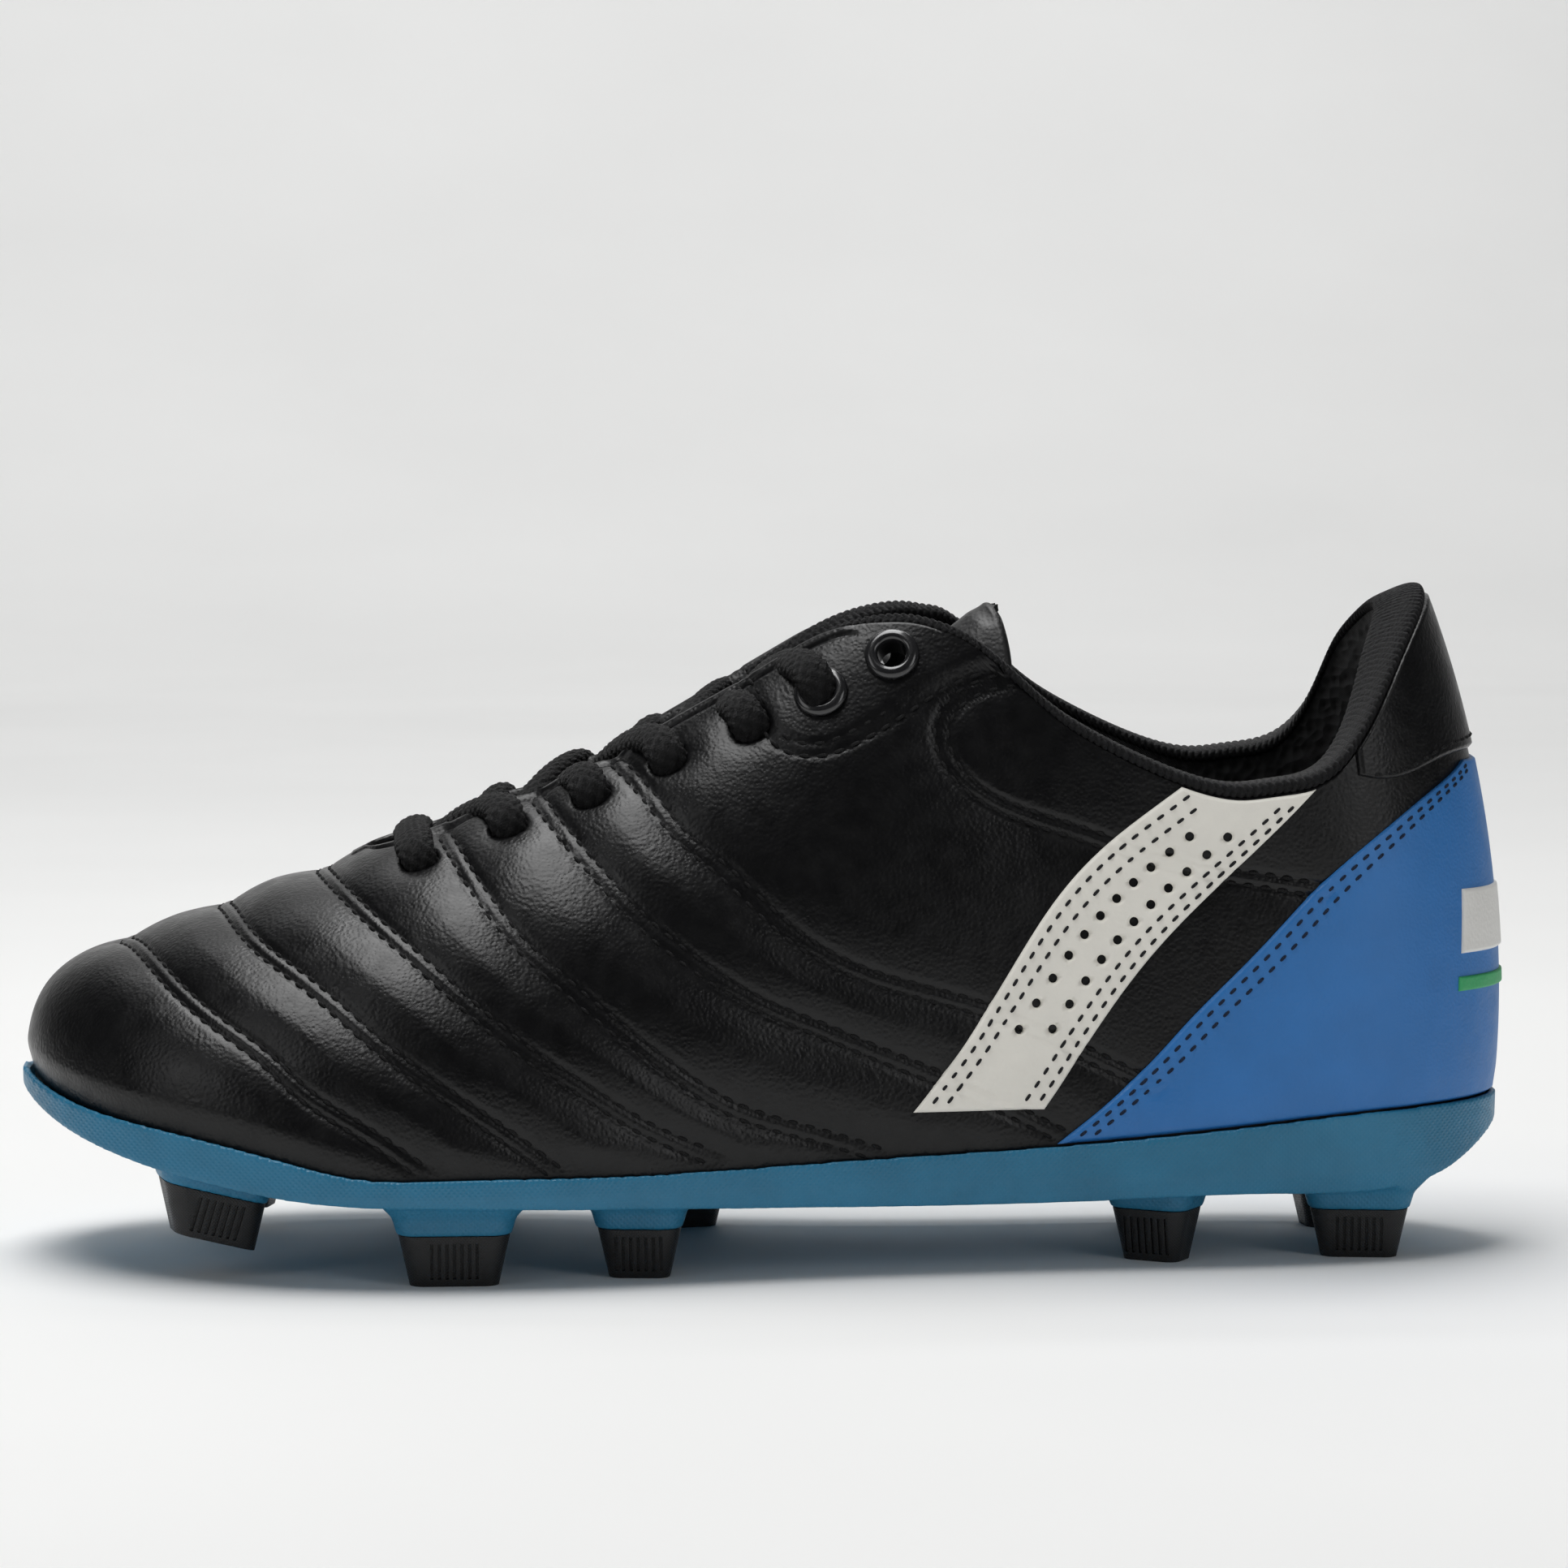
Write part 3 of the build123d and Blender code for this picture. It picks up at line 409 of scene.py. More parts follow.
def form(k, t):
    """Points of the foot form."""
    k, t = np.broadcast_arrays(np.asarray(k, float), np.asarray(t, float))
    r = ribs(k)
    stretch = ribs(k + 0.05)[..., :2] - ribs(k - 0.05)[..., :2]
    zero = np.zeros_like(k)
    out = unit(np.stack([stretch[..., 1], -stretch[..., 0], zero], -1))
    bottom = np.stack([r[..., 0], r[..., 1], rim_height(r[..., 0]) - RIM_TUCK], -1)
    top = r[..., 2:5]
    low = bottom + out * r[..., 5:6] + np.stack([zero, zero, r[..., 6]], -1)
    high = top + r[..., 7:10]
    t = t[..., None]
    s = 1 - t
    return s**3 * bottom + 3 * s * s * t * low + 3 * s * t * t * high + t**3 * top


def form_normal(k, t):
    e = 1e-3
    return unit(np.cross(form(k + e, t) - form(k - e, t), form(k, t + e) - form(k, t - e)))


def first_crossing(function, k, low, high, count=260):
    """For each rib, the t at which a function first rises above zero, or 1."""
    ts = np.linspace(low, high, count)
    values = function(k[:, None], ts[None, :])
    above = values > 0
    i = np.clip(np.argmax(above, 1), 1, count - 1)
    rows = np.arange(len(k))
    a, b = values[rows, i - 1], values[rows, i]
    t = ts[i - 1] + (ts[i] - ts[i - 1]) * np.clip(-a / (b - a + 1e-12), 0, 1)
    return np.where(above.any(1), t, 1.0)


def beyond_topline(k, t):
    p = form(k, t)
    x, y, z = p[..., 0], p[..., 1], p[..., 2]
    medial = MEDIAL_RISE * step(k, HEEL, HEEL + 4)
    over = (z - collar_height(np.minimum(x, 122)) - medial) / 3
    inside = (throat_half(x) - np.abs(y - ridge_y(np.minimum(x, 20)))) / 3 - 20 * step(x, 30, 60)
    return np.maximum(over, inside) + np.log1p(np.exp(-np.abs(over - inside)))


def in_throat_end(k, t):
    p = form(k, t)
    x, y, radius = THROAT_END
    ahead = np.minimum(p[..., 0] - x, 0)
    return radius - np.hypot(ahead, p[..., 1] - y)


topline_ribs = np.linspace(SEAM, LAST - SEAM, 160)
topline = spline(topline_ribs, first_crossing(beyond_topline, topline_ribs, 0.3, 1.0, 700))


def upper_top(k):
    k = np.asarray(k, float)
    return topline(k) - 0.018 * step(HEEL - np.abs(k - HEEL), 10.2, 10.9)


def locate(x, z):
    """Rib and t of the lateral side at places seen from the side."""
    x, z = np.asarray(x, float), np.asarray(z, float)
    k = np.interp(x, [-120, -62, 4, 64, 126], [3, 6.5, 9.5, 13, 16.5])
    t = np.full_like(k, 0.5)
    for _ in range(30):
        here = form(k, t)
        by_k = (form(k + 1e-3, t) - here) / 1e-3
        by_t = (form(k, t + 1e-3) - here) / 1e-3
        dx, dz = x - here[..., 0], z - here[..., 2]
        whole = by_k[..., 0] * by_t[..., 2] - by_t[..., 0] * by_k[..., 2]
        k = np.clip(k + (dx * by_t[..., 2] - by_t[..., 0] * dz) / whole, 0.5, 17.9)
        t = np.clip(t + (by_k[..., 0] * dz - by_k[..., 2] * dx) / whole, 0.0, 0.97)
    return k, t


def hole_frame(index, side):
    """Middle of a lace hole on the upper's face, its outward normal, and the way to the throat."""
    k, t = locate(*HOLES[index])
    k = k if side == "lateral" else LAST - k
    here, axis = form(k, t), form_normal(k, t)
    inward = np.array([0, 1.0 if side == "lateral" else -1.0, 0])
    return here, axis, unit(inward - np.dot(inward, axis) * axis)


# ---------------------------------------- quilting
# Double-stitched seams on the lateral side as (k, t), top to sole. The medial side mirrors them.
SEAMS = [
    [(3.2, 1), (3.35, 0.88), (3.76, 0.55), (4.13, 0.41), (4.59, 0.3), (4.87, 0.23), (5.34, 0.16),
     (5.9, 0.06)],
    [(4.4, 1), (4.48, 0.9), (4.75, 0.65), (5.17, 0.51), (5.48, 0.41), (5.8, 0.31), (6.32, 0.18),
     (7.0, 0.04)],
    [(5.68, 1), (5.73, 0.93), (5.97, 0.7), (6.21, 0.56), (6.5, 0.42), (6.9, 0.27), (7.21, 0.2),
     (7.71, 0.11), (8.26, 0.05)],
    [(7.06, 0.87), (7.07, 0.64), (7.15, 0.51), (7.32, 0.41), (7.55, 0.32), (8.04, 0.19), (8.46, 0.12),
     (9.08, 0.07), (9.67, 0.03)],
    [(7.9, 0.87), (7.96, 0.65), (8.05, 0.55), (8.15, 0.47), (8.37, 0.38), (8.91, 0.26), (9.23, 0.22),
     (9.69, 0.17), (10.27, 0.12), (11.31, 0.04)],
    [(8.62, 0.87), (8.7, 0.69), (8.77, 0.59), (8.92, 0.51), (9.24, 0.37), (9.57, 0.3), (10.45, 0.22),
     (11.54, 0.15), (12.3, 0.1)],
    [(11.9, 0.68), (11.4, 0.63), (11.0, 0.57), (10.98, 0.51), (11.32, 0.46), (12.1, 0.45), (12.77, 0.44),
     (13.41, 0.43), (14.2, 0.41)],
]
# The lower edge of the eyestay, which stands proud, and its two rows of stitches
EYESTAY = [(9.72, 0.86), (9.74, 0.77), (9.77, 0.67), (9.93, 0.63), (10.24, 0.61), (10.63, 0.61),
           (11.11, 0.635), (11.6, 0.68)]
ROW_HALF = 1.2  # half the distance between the two rows of a double seam
SWELL_BACK, SWELL_FRONT, SWELL_REACH = 0.45, 1.15, 4.2  # how high the pads rise, and how soon beside a seam
STITCH_SINK = 0.5
EYESTAY_RISE = 1.2
HOLE_PRESS = 5.0  # how far round a lace hole the leather lies flat
LIP_LENGTH = 95  # about how long a rib is, to turn t into millimetres near the throat


def traced(points, side, count=240):
    """A smooth line through (k, t) points, evenly spaced."""
    points = np.array(points, float)
    length = run_length(form(*points.T))
    line = spline(length, points)(np.linspace(0, length[-1], count))
    k, t = line[:, 0], np.minimum(line[:, 1], 1.0)
    return (k if side == "lateral" else LAST - k), t


def tree(points):
    made = kdtree.KDTree(len(points))
    for i, p in enumerate(points):
        made.insert(p, i)
    made.balance()
    return made


def distances(points, near):
    return np.array([near.find(p)[2] for p in points])


SIDES = ("lateral", "medial")
seam_tree = tree(np.concatenate([form(*traced(s, side)) for s in SEAMS for side in SIDES]))
eyestay_tree = tree(np.concatenate([form(*traced(EYESTAY, side)) for side in SIDES]))
hole_tree = tree(np.array([hole_frame(i, side)[0] for i in range(len(HOLES)) for side in SIDES]))
eyestay_low = np.array(EYESTAY)


def relief(points, k, t):
    """How far the leather stands above the foot form: padded between seams, sunk where they are sewn."""
    d = distances(points, seam_tree)
    front = 1 - step(points[:, 0], -10, 45)
    swell = mix(SWELL_BACK, SWELL_FRONT, front)
    away = np.maximum(d - ROW_HALF, 0)
    height = swell * (1 - np.exp(-((away / SWELL_REACH) ** 1.5)))
    height -= STITCH_SINK * np.exp(-(((d - ROW_HALF) / 0.6) ** 2))
    above = points[:, 2] - rim_height(points[:, 0])
    height *= mix(0.1, 1.0, step(above, 0.3, 6.0))
    height *= 1 - 0.9 * np.exp(-((distances(points, hole_tree) / HOLE_PRESS) ** 2))
    near = np.minimum(k, LAST - k)
    inside = (near > 9.74) & (near < 11.75) & (t > np.interp(near, eyestay_low[2:, 0], eyestay_low[2:, 1]))
    edge = distances(points, eyestay_tree)
    raised = np.where(inside, step(edge, -0.4, 1.6), 0.0)
    height = mix(height, EYESTAY_RISE, raised)
    return height - 0.3 * np.exp(-(((edge - 1.2) / 0.5) ** 2)) * (near > 9.6) * (near < 11.8)


def crumple(points, size, seed):
    """Slow unevenness from -1 to 1."""
    offset = Vector((seed, seed * 1.7, seed * 0.6))
    return np.array([noise.noise(Vector(p) / size + offset) for p in points])


# ---------------------------------------- mesh building
def build(name, points, faces, materials, slot, body="shoe", index=None, sharp=55):
    """A named mesh in metres that rides on a body."""
    mesh = bpy.data.meshes.new(name)
    mesh.from_pydata((np.asarray(points) * MM).tolist(), [], np.asarray(faces).tolist())
    for m in materials:
        mesh.materials.append(m)
    if index is not None:
        mesh.polygons.foreach_set("material_index", np.asarray(index, np.int32))
    mesh.validate()
    mesh.shade_smooth()
    mesh.set_sharp_from_angle(angle=math.radians(sharp))
    obj = linked(name, mesh)
    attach(obj, body)
    return obj


def lattice(rows, columns):
    index = np.arange(rows * columns).reshape(rows, columns)
    corners = [index[:-1, :-1], index[1:, :-1], index[1:, 1:], index[:-1, 1:]]
    return np.stack(corners, -1).reshape(-1, 4)


def tube_faces(rings, around, closed=False):
    index = np.arange(rings * around).reshape(rings, around)
    if closed:
        index = np.vstack([index, index[:1]])
    nxt = np.roll(index, -1, 1)
    return np.stack([index[:-1], nxt[:-1], nxt[1:], index[1:]], -1).reshape(-1, 4)


def rim_of(cells, count):
    """Directed edges that only one cell uses."""
    a = cells.ravel()
    b = np.roll(cells, -1, 1).ravel()
    alone = ~np.isin(a.astype(np.int64) * count + b, b.astype(np.int64) * count + a)
    alone &= a != b
    return a[alone], b[alone]


def layer(name, base, normal, cells, outer, inner, materials, slot, edge=0.0, both=False, holes=(), **more):
    """A closed layer over a surface, between two depths, with rounded edges and punched holes."""
    middle = base[cells].mean(1)
    keep = np.ones(len(cells), bool)
    for here, _, radius in holes:
        keep &= np.linalg.norm(middle - here, axis=1) > radius
    used, cells = np.unique(cells[keep], return_inverse=True)
    cells = cells.reshape(-1, 4)
    outer, inner = (np.broadcast_to(depth, len(base))[used] for depth in (outer, inner))
    base, normal = base[used], normal[used]
    count = len(base)
    a, b = rim_of(cells, count)
    for here, axis, radius in holes:
        near = a[np.linalg.norm(base[a] - here, axis=1) < radius + 1.0]
        arm = base[near] - here
        lift = (arm @ axis)[:, None] * axis
        base[near] = here + lift + unit(arm - lift) * radius
    if edge:
        d = np.minimum(distances(base, tree(base[a])), edge)
        drop = edge - np.sqrt(edge**2 - (edge - d) ** 2)
        outer = outer - drop
        inner = inner + drop if both else inner
    points = np.concatenate([base + normal * outer[:, None], base + normal * inner[:, None]])
    sides = np.stack([b, a, a + count, b + count], -1)
    faces = np.concatenate([cells, cells[:, ::-1] + count, sides])
    p = points[cells[:400]]
    facing = np.einsum("ij,ij->i", np.cross(p[:, 1] - p[:, 0], p[:, 3] - p[:, 0]), normal[cells[:400, 0]])
    if facing.sum() < 0:
        faces = faces[:, ::-1]
    index = np.zeros(len(faces), int)
    if len(materials) > 1:
        index[len(cells) : 2 * len(cells)] = 1
    return build(name, points, faces, materials, slot, index=index, **more)


def surface_layer(name, surface, rows, columns, outer, inner, materials, slot, **more):
    """A layer over the foot form; surface(u, v) gives ribs and ts. Depths may be functions of k and t."""
    u, v = np.meshgrid(np.linspace(0, 1, rows), np.linspace(0, 1, columns), indexing="ij")
    k, t = surface(u.ravel(), v.ravel())
    depths = [d(k, t) if callable(d) else np.full(len(k), float(d)) for d in (outer, inner)]
    cells = lattice(rows, columns)
    return layer(name, form(k, t), form_normal(k, t), cells, *depths, materials, slot, **more)


def lathe(name, profile, origin, axis, material, slot, count=56):
    """A turned piece: the profile is (radius, height) round a closed loop."""
    profile = np.array(profile, float)
    turn = np.array(Vector(axis).to_track_quat("Z", "Y").to_matrix())
    angle = np.linspace(0, 2 * np.pi, count, endpoint=False)
    ring = np.stack([np.cos(angle), np.sin(angle)], -1)
    points = [np.column_stack([ring * radius, np.full(count, height)]) for radius, height in profile]
    points = np.concatenate(points) @ turn.T + np.asarray(origin)
    return build(name, points, tube_faces(len(profile), count, True), [material], slot, sharp=40)


def sewn(name, lines, material, slot, pitch=3.2, length=2.35, radius=0.34, body="shoe"):
    """Stitches along lines of points with normals: short bowed threads whose ends go into the leather."""
    rings, around = 7, 8
    s = np.linspace(-1, 1, rings)
    angle = np.linspace(0, 2 * np.pi, around, endpoint=False)
    thick = radius * np.sqrt(np.maximum(1 - s**4, 0.06))
    x = np.repeat(s * length / 2, around)
    y = np.outer(thick, np.cos(angle)).ravel()
    z = np.outer(thick, np.sin(angle)).ravel() - 0.42 * np.repeat(s**2, around)
    stitch = tube_faces(rings, around)
    points, faces = [], []
    for p, n in lines:
        gone = run_length(p)
        places = np.arange(pitch / 2, gone[-1] - pitch / 4, pitch)
        for place in places:
            here, up = at_length(place, gone, p), at_length(place, gone, n)
            way = unit(at_length(place + 0.6, gone, p) - at_length(place - 0.6, gone, p))
            up = unit(up - np.dot(up, way) * way)
            side = np.cross(up, way)
            faces.append(stitch + len(points) * rings * around)
            points.append(here + np.outer(x, way) + np.outer(y, side) + np.outer(z, up))
    return build(name, np.concatenate(points), np.concatenate(faces), [material], slot, body=body)


def on_upper(k, t, shift, lift):
    """Points and normals of a line on the leather, moved sideways by shift and raised by lift."""
    p, n = form(k, t), form_normal(k, t)
    way = unit(np.gradient(p, axis=0))
    p = p + np.cross(n, way) * shift
    return p + n * (relief(p, k, t) + lift)[:, None], n


# ---------------------------------------- the upper's leather
ROWS, PER_RIB = 168, 26
columns = HEEL * PER_RIB + 1
near_side = np.linspace(0.0, HEEL, columns)
column_ribs = np.concatenate([near_side, LAST - near_side[-2::-1]])
leather_top = np.ones(len(column_ribs))
mirrored = np.minimum(column_ribs, LAST - column_ribs)
in_vamp = (mirrored > THROAT_FRONT) & (mirrored < SEAM)
leather_top[in_vamp] = first_crossing(in_throat_end, column_ribs[in_vamp], 0.5, 1.0, 900)
behind = mirrored >= SEAM
leather_top[behind] = upper_top(column_ribs[behind])
closed = leather_top >= 1.0

share = np.linspace(0, 1, ROWS)
K = np.repeat(column_ribs[None, :], ROWS, 0).ravel()
T = (share[:, None] * leather_top[None, :]).ravel()
skin = form(K, T)
total = len(column_ribs)
cells = lattice(ROWS, total)
merge = np.arange(ROWS * total)
top = (ROWS - 1) * total
for c in range(columns - 1):
    if closed[c]:
        merge[top + total - 1 - c] = top + c
cells = merge[cells]


def mesh_normals(points, faces):
    a, b = points[faces[:, 2]] - points[faces[:, 0]], points[faces[:, 3]] - points[faces[:, 1]]
    face = np.cross(a, b)
    out = np.zeros_like(points)
    for i in range(4):
        np.add.at(out, faces[:, i], face)
    return unit(out)


skin_normal = mesh_normals(skin, cells)
away = form_normal(K, np.clip(T, 0.02, 0.98))
skin_normal *= np.sign((skin_normal * away).sum(1))[:, None]
skin_normal = skin_normal[merge]
above_sole = step(skin[:, 2] - rim_height(skin[:, 0]), 1, 8)
height = relief(skin, K, T) + 0.16 * crumple(skin, 14.0, 3.0) * above_sole

# the folded edge of the throat, with a sunk line beside it
lip = (np.repeat(leather_top[None, :], ROWS, 0).ravel() - T) * LIP_LENGTH
at_throat = np.tile((mirrored > THROAT_FRONT) & (mirrored < 10.6), ROWS)
fold = 0.25 * np.exp(-(((lip - 1.0) / 0.9) ** 2))
line = 0.45 * np.exp(-(((lip - 2.5) / 0.45) ** 2))
height += (fold - line) * at_throat

punched = []
for side in SIDES:
    for i in range(len(HOLES)):
        here, axis, _ = hole_frame(i, side)
        punched.append((here, axis, RING_RADIUS if i in RINGS else HOLE_RADIUS))
upper = layer("upper_leather", skin, skin_normal, cells, height, -LEATHER, [leather], "black_leather",
              edge=0.5, holes=punched)
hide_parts("vamp", "quarter_lateral", "quarter_medial", "eyestay_lateral", "eyestay_medial")

rows = []
for seam in SEAMS:
    for side in SIDES:
        k, t = traced(seam, side)
        rows += [on_upper(k, t, shift, 0.16) for shift in (-ROW_HALF, ROW_HALF)]
for side in SIDES:
    k, t = traced(EYESTAY, side)
    rows += [on_upper(k, t, shift, 0.3) for shift in (-1.2, 1.2)]
sewn("quilt_stitches", rows, black_thread, "black_leather")

# the front lining, seen through the throat
ahead = (K[cells] < COLLAR_FRONT).all(1) | (K[cells] > LAST - COLLAR_FRONT).all(1)
lining = layer("front_lining", skin, skin_normal, cells[ahead], -LEATHER - GAP, -LEATHER - GAP - LINING,
               [plain_lining], "lining", holes=punched)
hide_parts("vamp_lining", "quarter_lining_lateral", "quarter_lining_medial")


# ---------------------------------------- pieces stitched on top
def over(amount):
    """A depth that follows the leather below."""
    return lambda k, t: relief(form(k, t), k, t) * 0.6 + amount


def on_piece(k, t, lift):
    """Points and normals of a line on a piece stitched on top."""
    p, n = form(k, t), form_normal(k, t)
    return p + n * over(lift)(k, t)[:, None], n


def mirror_for(side, surface):
    if side == "lateral":
        return surface

    def other(u, v):
        k, t = surface(1 - u, v)
        return LAST - k, t

    return other


strap_foot = spline([0, 0.5, 1], np.column_stack(locate(STRAP_FOOT, [30.0] * 3)))
strap_head = [float(locate(x, z)[0]) for x, z in STRAP_HEAD]


def strap_surface(u, v):
    foot = strap_foot(u)
    k1 = mix(*strap_head, u)
    return mix(foot[..., 0], k1, v), mix(foot[..., 1], upper_top(k1) - 0.006, v)


for side in SIDES:
    surface = mirror_for(side, strap_surface)
    vents = []
    for v in np.linspace(0.2, 0.86, 11):
        for u in (0.36, 0.64):
            k, t = surface(np.array([u]), np.array([v]))
            vents.append((form(k, t)[0], form_normal(k, t)[0], VENT_RADIUS))
    strap = surface_layer(f"side_band_{side}", surface, 60, 150, over(OVERLAY), over(-0.3), [white],
                          "white_leather", edge=0.55, holes=vents)
    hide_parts(f"side_strap_{side}")
    lines = []
    v = np.linspace(0.015, 0.99, 200)
    for u in (0.085, 0.2, 0.8, 0.915):
        lines.append(on_piece(*surface(np.full_like(v, u), v), OVERLAY + 0.05))
    sewn(f"side_band_stitches_{side}", lines, dark_thread, "white_leather", pitch=2.9, length=2.0,
         radius=0.3)

front_x = along(OVERLAY_FRONT)


def bisect(function, low, high):
    """Where rising functions cross zero."""
    low, high = np.broadcast_arrays(np.asarray(low, float), np.asarray(high, float))
    low, high = low.copy(), high.copy()
    for _ in range(32):
        middle = (low + high) / 2
        above = function(middle) > 0
        high = np.where(above, middle, high)
        low = np.where(above, low, middle)
    return (low + high) / 2


summit = float(bisect(lambda t: form(HEEL, t)[..., 2] - OVERLAY_TOP, 0.3, 0.9))
levels = np.linspace(0.02, summit, 12)
heel_front = spline(levels, bisect(lambda k: form(k, levels)[..., 0] - front_x(form(k, levels)[..., 2]),
                                   np.full(12, 9.0), np.full(12, float(HEEL))))
rim_ribs = np.arange(8.0, 29.0)


def above_sole_rim(t):
    p = form(rim_ribs, t)
    return p[..., 2] - rim_height(p[..., 0]) - 0.3


above_rim = spline(rim_ribs, bisect(above_sole_rim, np.zeros(len(rim_ribs)), np.full(len(rim_ribs), 0.5)))


def heel_surface(u, v):
    k, t = np.full_like(u, float(HEEL)), np.full_like(u, 0.04)
    for _ in range(4):
        t = mix(above_rim(k), summit, v)
        k = mix(heel_front(t), LAST - heel_front(t), u)
    return k, t


heel_piece = surface_layer("heel_overlay_blue", heel_surface, 260, 110, over(OVERLAY), over(-0.3), [blue],
                           "blue_leather", edge=0.55)
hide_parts("heel_overlay")


def inset(surface, distance, ends, from_end):
    """A stitch line at a distance inside the edge u = 0 of a piece, or u = 1."""
    v = np.linspace(*ends, 220)
    u = np.linspace(0, 1, 60)[:, None] * np.ones_like(v)
    k, t = surface(u.ravel(), np.tile(v, 60))
    p = form(k, t).reshape(60, -1, 3)
    width = np.linalg.norm(np.diff(p, axis=0), axis=2).sum(0)
    at = distance / width
    return on_piece(*surface(1 - at if from_end else at, v), OVERLAY + 0.05)


lines = [inset(heel_surface, d, (0.01, 0.985), end) for d in (1.8, 4.0) for end in (False, True)]
sewn("heel_overlay_stitches", lines, navy_thread, "blue_leather", pitch=2.9, length=2.0, radius=0.3)

tab_edge = along(TAB_LOW)
tab_ribs = np.linspace(TAB_FRONT, HEEL, 14)
tab_low = spline(tab_ribs, bisect(lambda t: form(tab_ribs, t)[..., 2] - tab_edge(form(tab_ribs, t)[..., 0]),
                                  np.full(14, 0.3), np.full(14, 0.95)))


def tab_surface(u, v):
    k = mix(TAB_FRONT, LAST - TAB_FRONT, u)
    return k, mix(tab_low(HEEL - np.abs(k - HEEL)), upper_top(k), v)


tab = surface_layer("heel_tab_black", tab_surface, 200, 60, over(OVERLAY + 0.1), over(-0.3), [leather],
                    "black_leather", edge=0.6)
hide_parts("heel_tab")
u = np.linspace(0.02, 0.98, 260)
line = on_piece(*tab_surface(u, np.full_like(u, 0.07)), OVERLAY + 0.15)
sewn("heel_tab_stitches", [line], black_thread, "black_leather", pitch=2.9, length=2.1, radius=0.3)


def trim_surface(front, low, high, slant):
    def surface(u, v):
        return mix(front, LAST - front, u) + slant * (v - 0.5), mix(low, high, v)

    return surface


badge = surface_layer("heel_badge_white", trim_surface(*HEEL_BADGE), 150, 34, over(OVERLAY + 0.55),
                      over(OVERLAY - 0.2), [badge_white], "white_trim", edge=0.4)
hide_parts("heel_badge")
stripe = surface_layer("heel_stripe_green", trim_surface(*HEEL_STRIPE), 150, 14, over(OVERLAY + 0.5),
                       over(OVERLAY - 0.2), [green], "green_trim", edge=0.35)
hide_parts("heel_stripe")


# ---------------------------------------- collar
def counter_top(k):
    return 0.5 * upper_top(k) + 0.05


def round_heel(k):
    return step(HEEL - np.abs(k - HEEL), 11.8, 14.2)


def collar_depth(k, t):
    heel = round_heel(k)
    padding = step(t, counter_top(k) - 0.05, counter_top(k) + 0.17) * mix(2.4, 4.6, heel)
    return -(LEATHER + GAP + (COUNTER + GAP) * heel + padding)


def collar_surface(u, v):
    k = mix(COLLAR_FRONT, LAST - COLLAR_FRONT, u)
    return k, v * upper_top(k)


def collar_outside(k, t):
    below = -(LEATHER + GAP + (COUNTER + GAP) * round_heel(k)) - 0.05
    return mix(below, -LEATHER - GAP, step(t, counter_top(k) + 0.03, counter_top(k) + 0.06))


def collar_inside(k, t):
    soft = crumple(form(k, t), 16.0, 7.0)
    pad = step(t, counter_top(k) + 0.02, counter_top(k) + 0.16)
    return collar_depth(k, t) - LINING - 0.5 * pad * soft


collar = surface_layer("collar_pad", collar_surface, 300, 130, collar_outside, collar_inside,
                       [mesh_lining, mesh_lining], "collar_mesh", edge=0.6)
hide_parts("collar_foam", "collar_lining")

KNIT_PITCH, KNIT_DEPTH = 1.4, 0.5


def binding_points(count=2400, around=36):
    """A soft textile tube, a rounded rectangle in section, over the edge of the collar."""
    k = np.linspace(BINDING_FRONT, LAST - BINDING_FRONT, count)
    near = HEEL - np.abs(k - HEEL)
    grown = step(near, BINDING_FRONT - 0.15, 10.9)
    high = topline(k) + mix(0.006, 0.004, grown)
    low = mix(topline(k) - 0.014, upper_top(k) - 0.004, grown)
    thin = -(LEATHER + GAP + LINING)
    pad = step(near, 11.6, 12.3)
    deep = mix(thin, collar_depth(k, topline(k)) - LINING, pad) - 0.3
    centre_t, half_t = (high + low) / 2, (high - low) / 2
    proud = mix(0.5, 0.8, grown)
    centre_d, half_d = (proud + deep) / 2, (proud - deep) / 2
    angle = np.linspace(0, 2 * np.pi, around, endpoint=False)
    across, upward = (np.sign(wave) * np.abs(wave) ** 0.62 for wave in (np.cos(angle), np.sin(angle)))
    kk = np.repeat(k[:, None], around, 1)
    tt = centre_t[:, None] + half_t[:, None] * upward
    p, n = form(kk, tt), form_normal(kk, tt)
    gone = run_length(p[:, 0])
    rib = gone[:, None] / KNIT_PITCH + 0.5 * np.abs(np.sin(angle * 2))
    ripple = KNIT_DEPTH * (np.sqrt(np.abs(np.sin(np.pi * rib))) - 0.6)
    depth = centre_d[:, None] + half_d[:, None] * across
    p = p + n * (depth + ripple * across)[..., None]
    climb = unit(form(kk, tt + 1e-3) - form(kk, tt))
    out = p + climb * (ripple * upward)[..., None]
    return out.reshape(-1, 3), count, around


points, count, around = binding_points()
binding = build("collar_binding_tube", points, tube_faces(count, around), [edge_textile], "binding",
                sharp=80)
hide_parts("collar_binding")

# ---------------------------------------- tongue
# Its rows from the sewn end to the top: x, z, half the width, and how far its edges hang down
TONGUE = [(-70, 69.0, 12.5, 3.0), (-50, 74.3, 14.5, 4.5), (-30, 81.0, 15.5, 6.5), (-10, 89.0, 16, 9.5),
          (5, 96.3, 16, 12.5), (20, 105.0, 16, 16), (32, 113.6, 15.5, 18), (41, 121.0, 14.5, 17)]
tongue_rows = spline(np.linspace(0, 1, len(TONGUE)), TONGUE)
CORNER = 0.2  # how much of the tongue's length its rounded corners take
END_WIDTH = 0.22  # share of the width that is left at its end


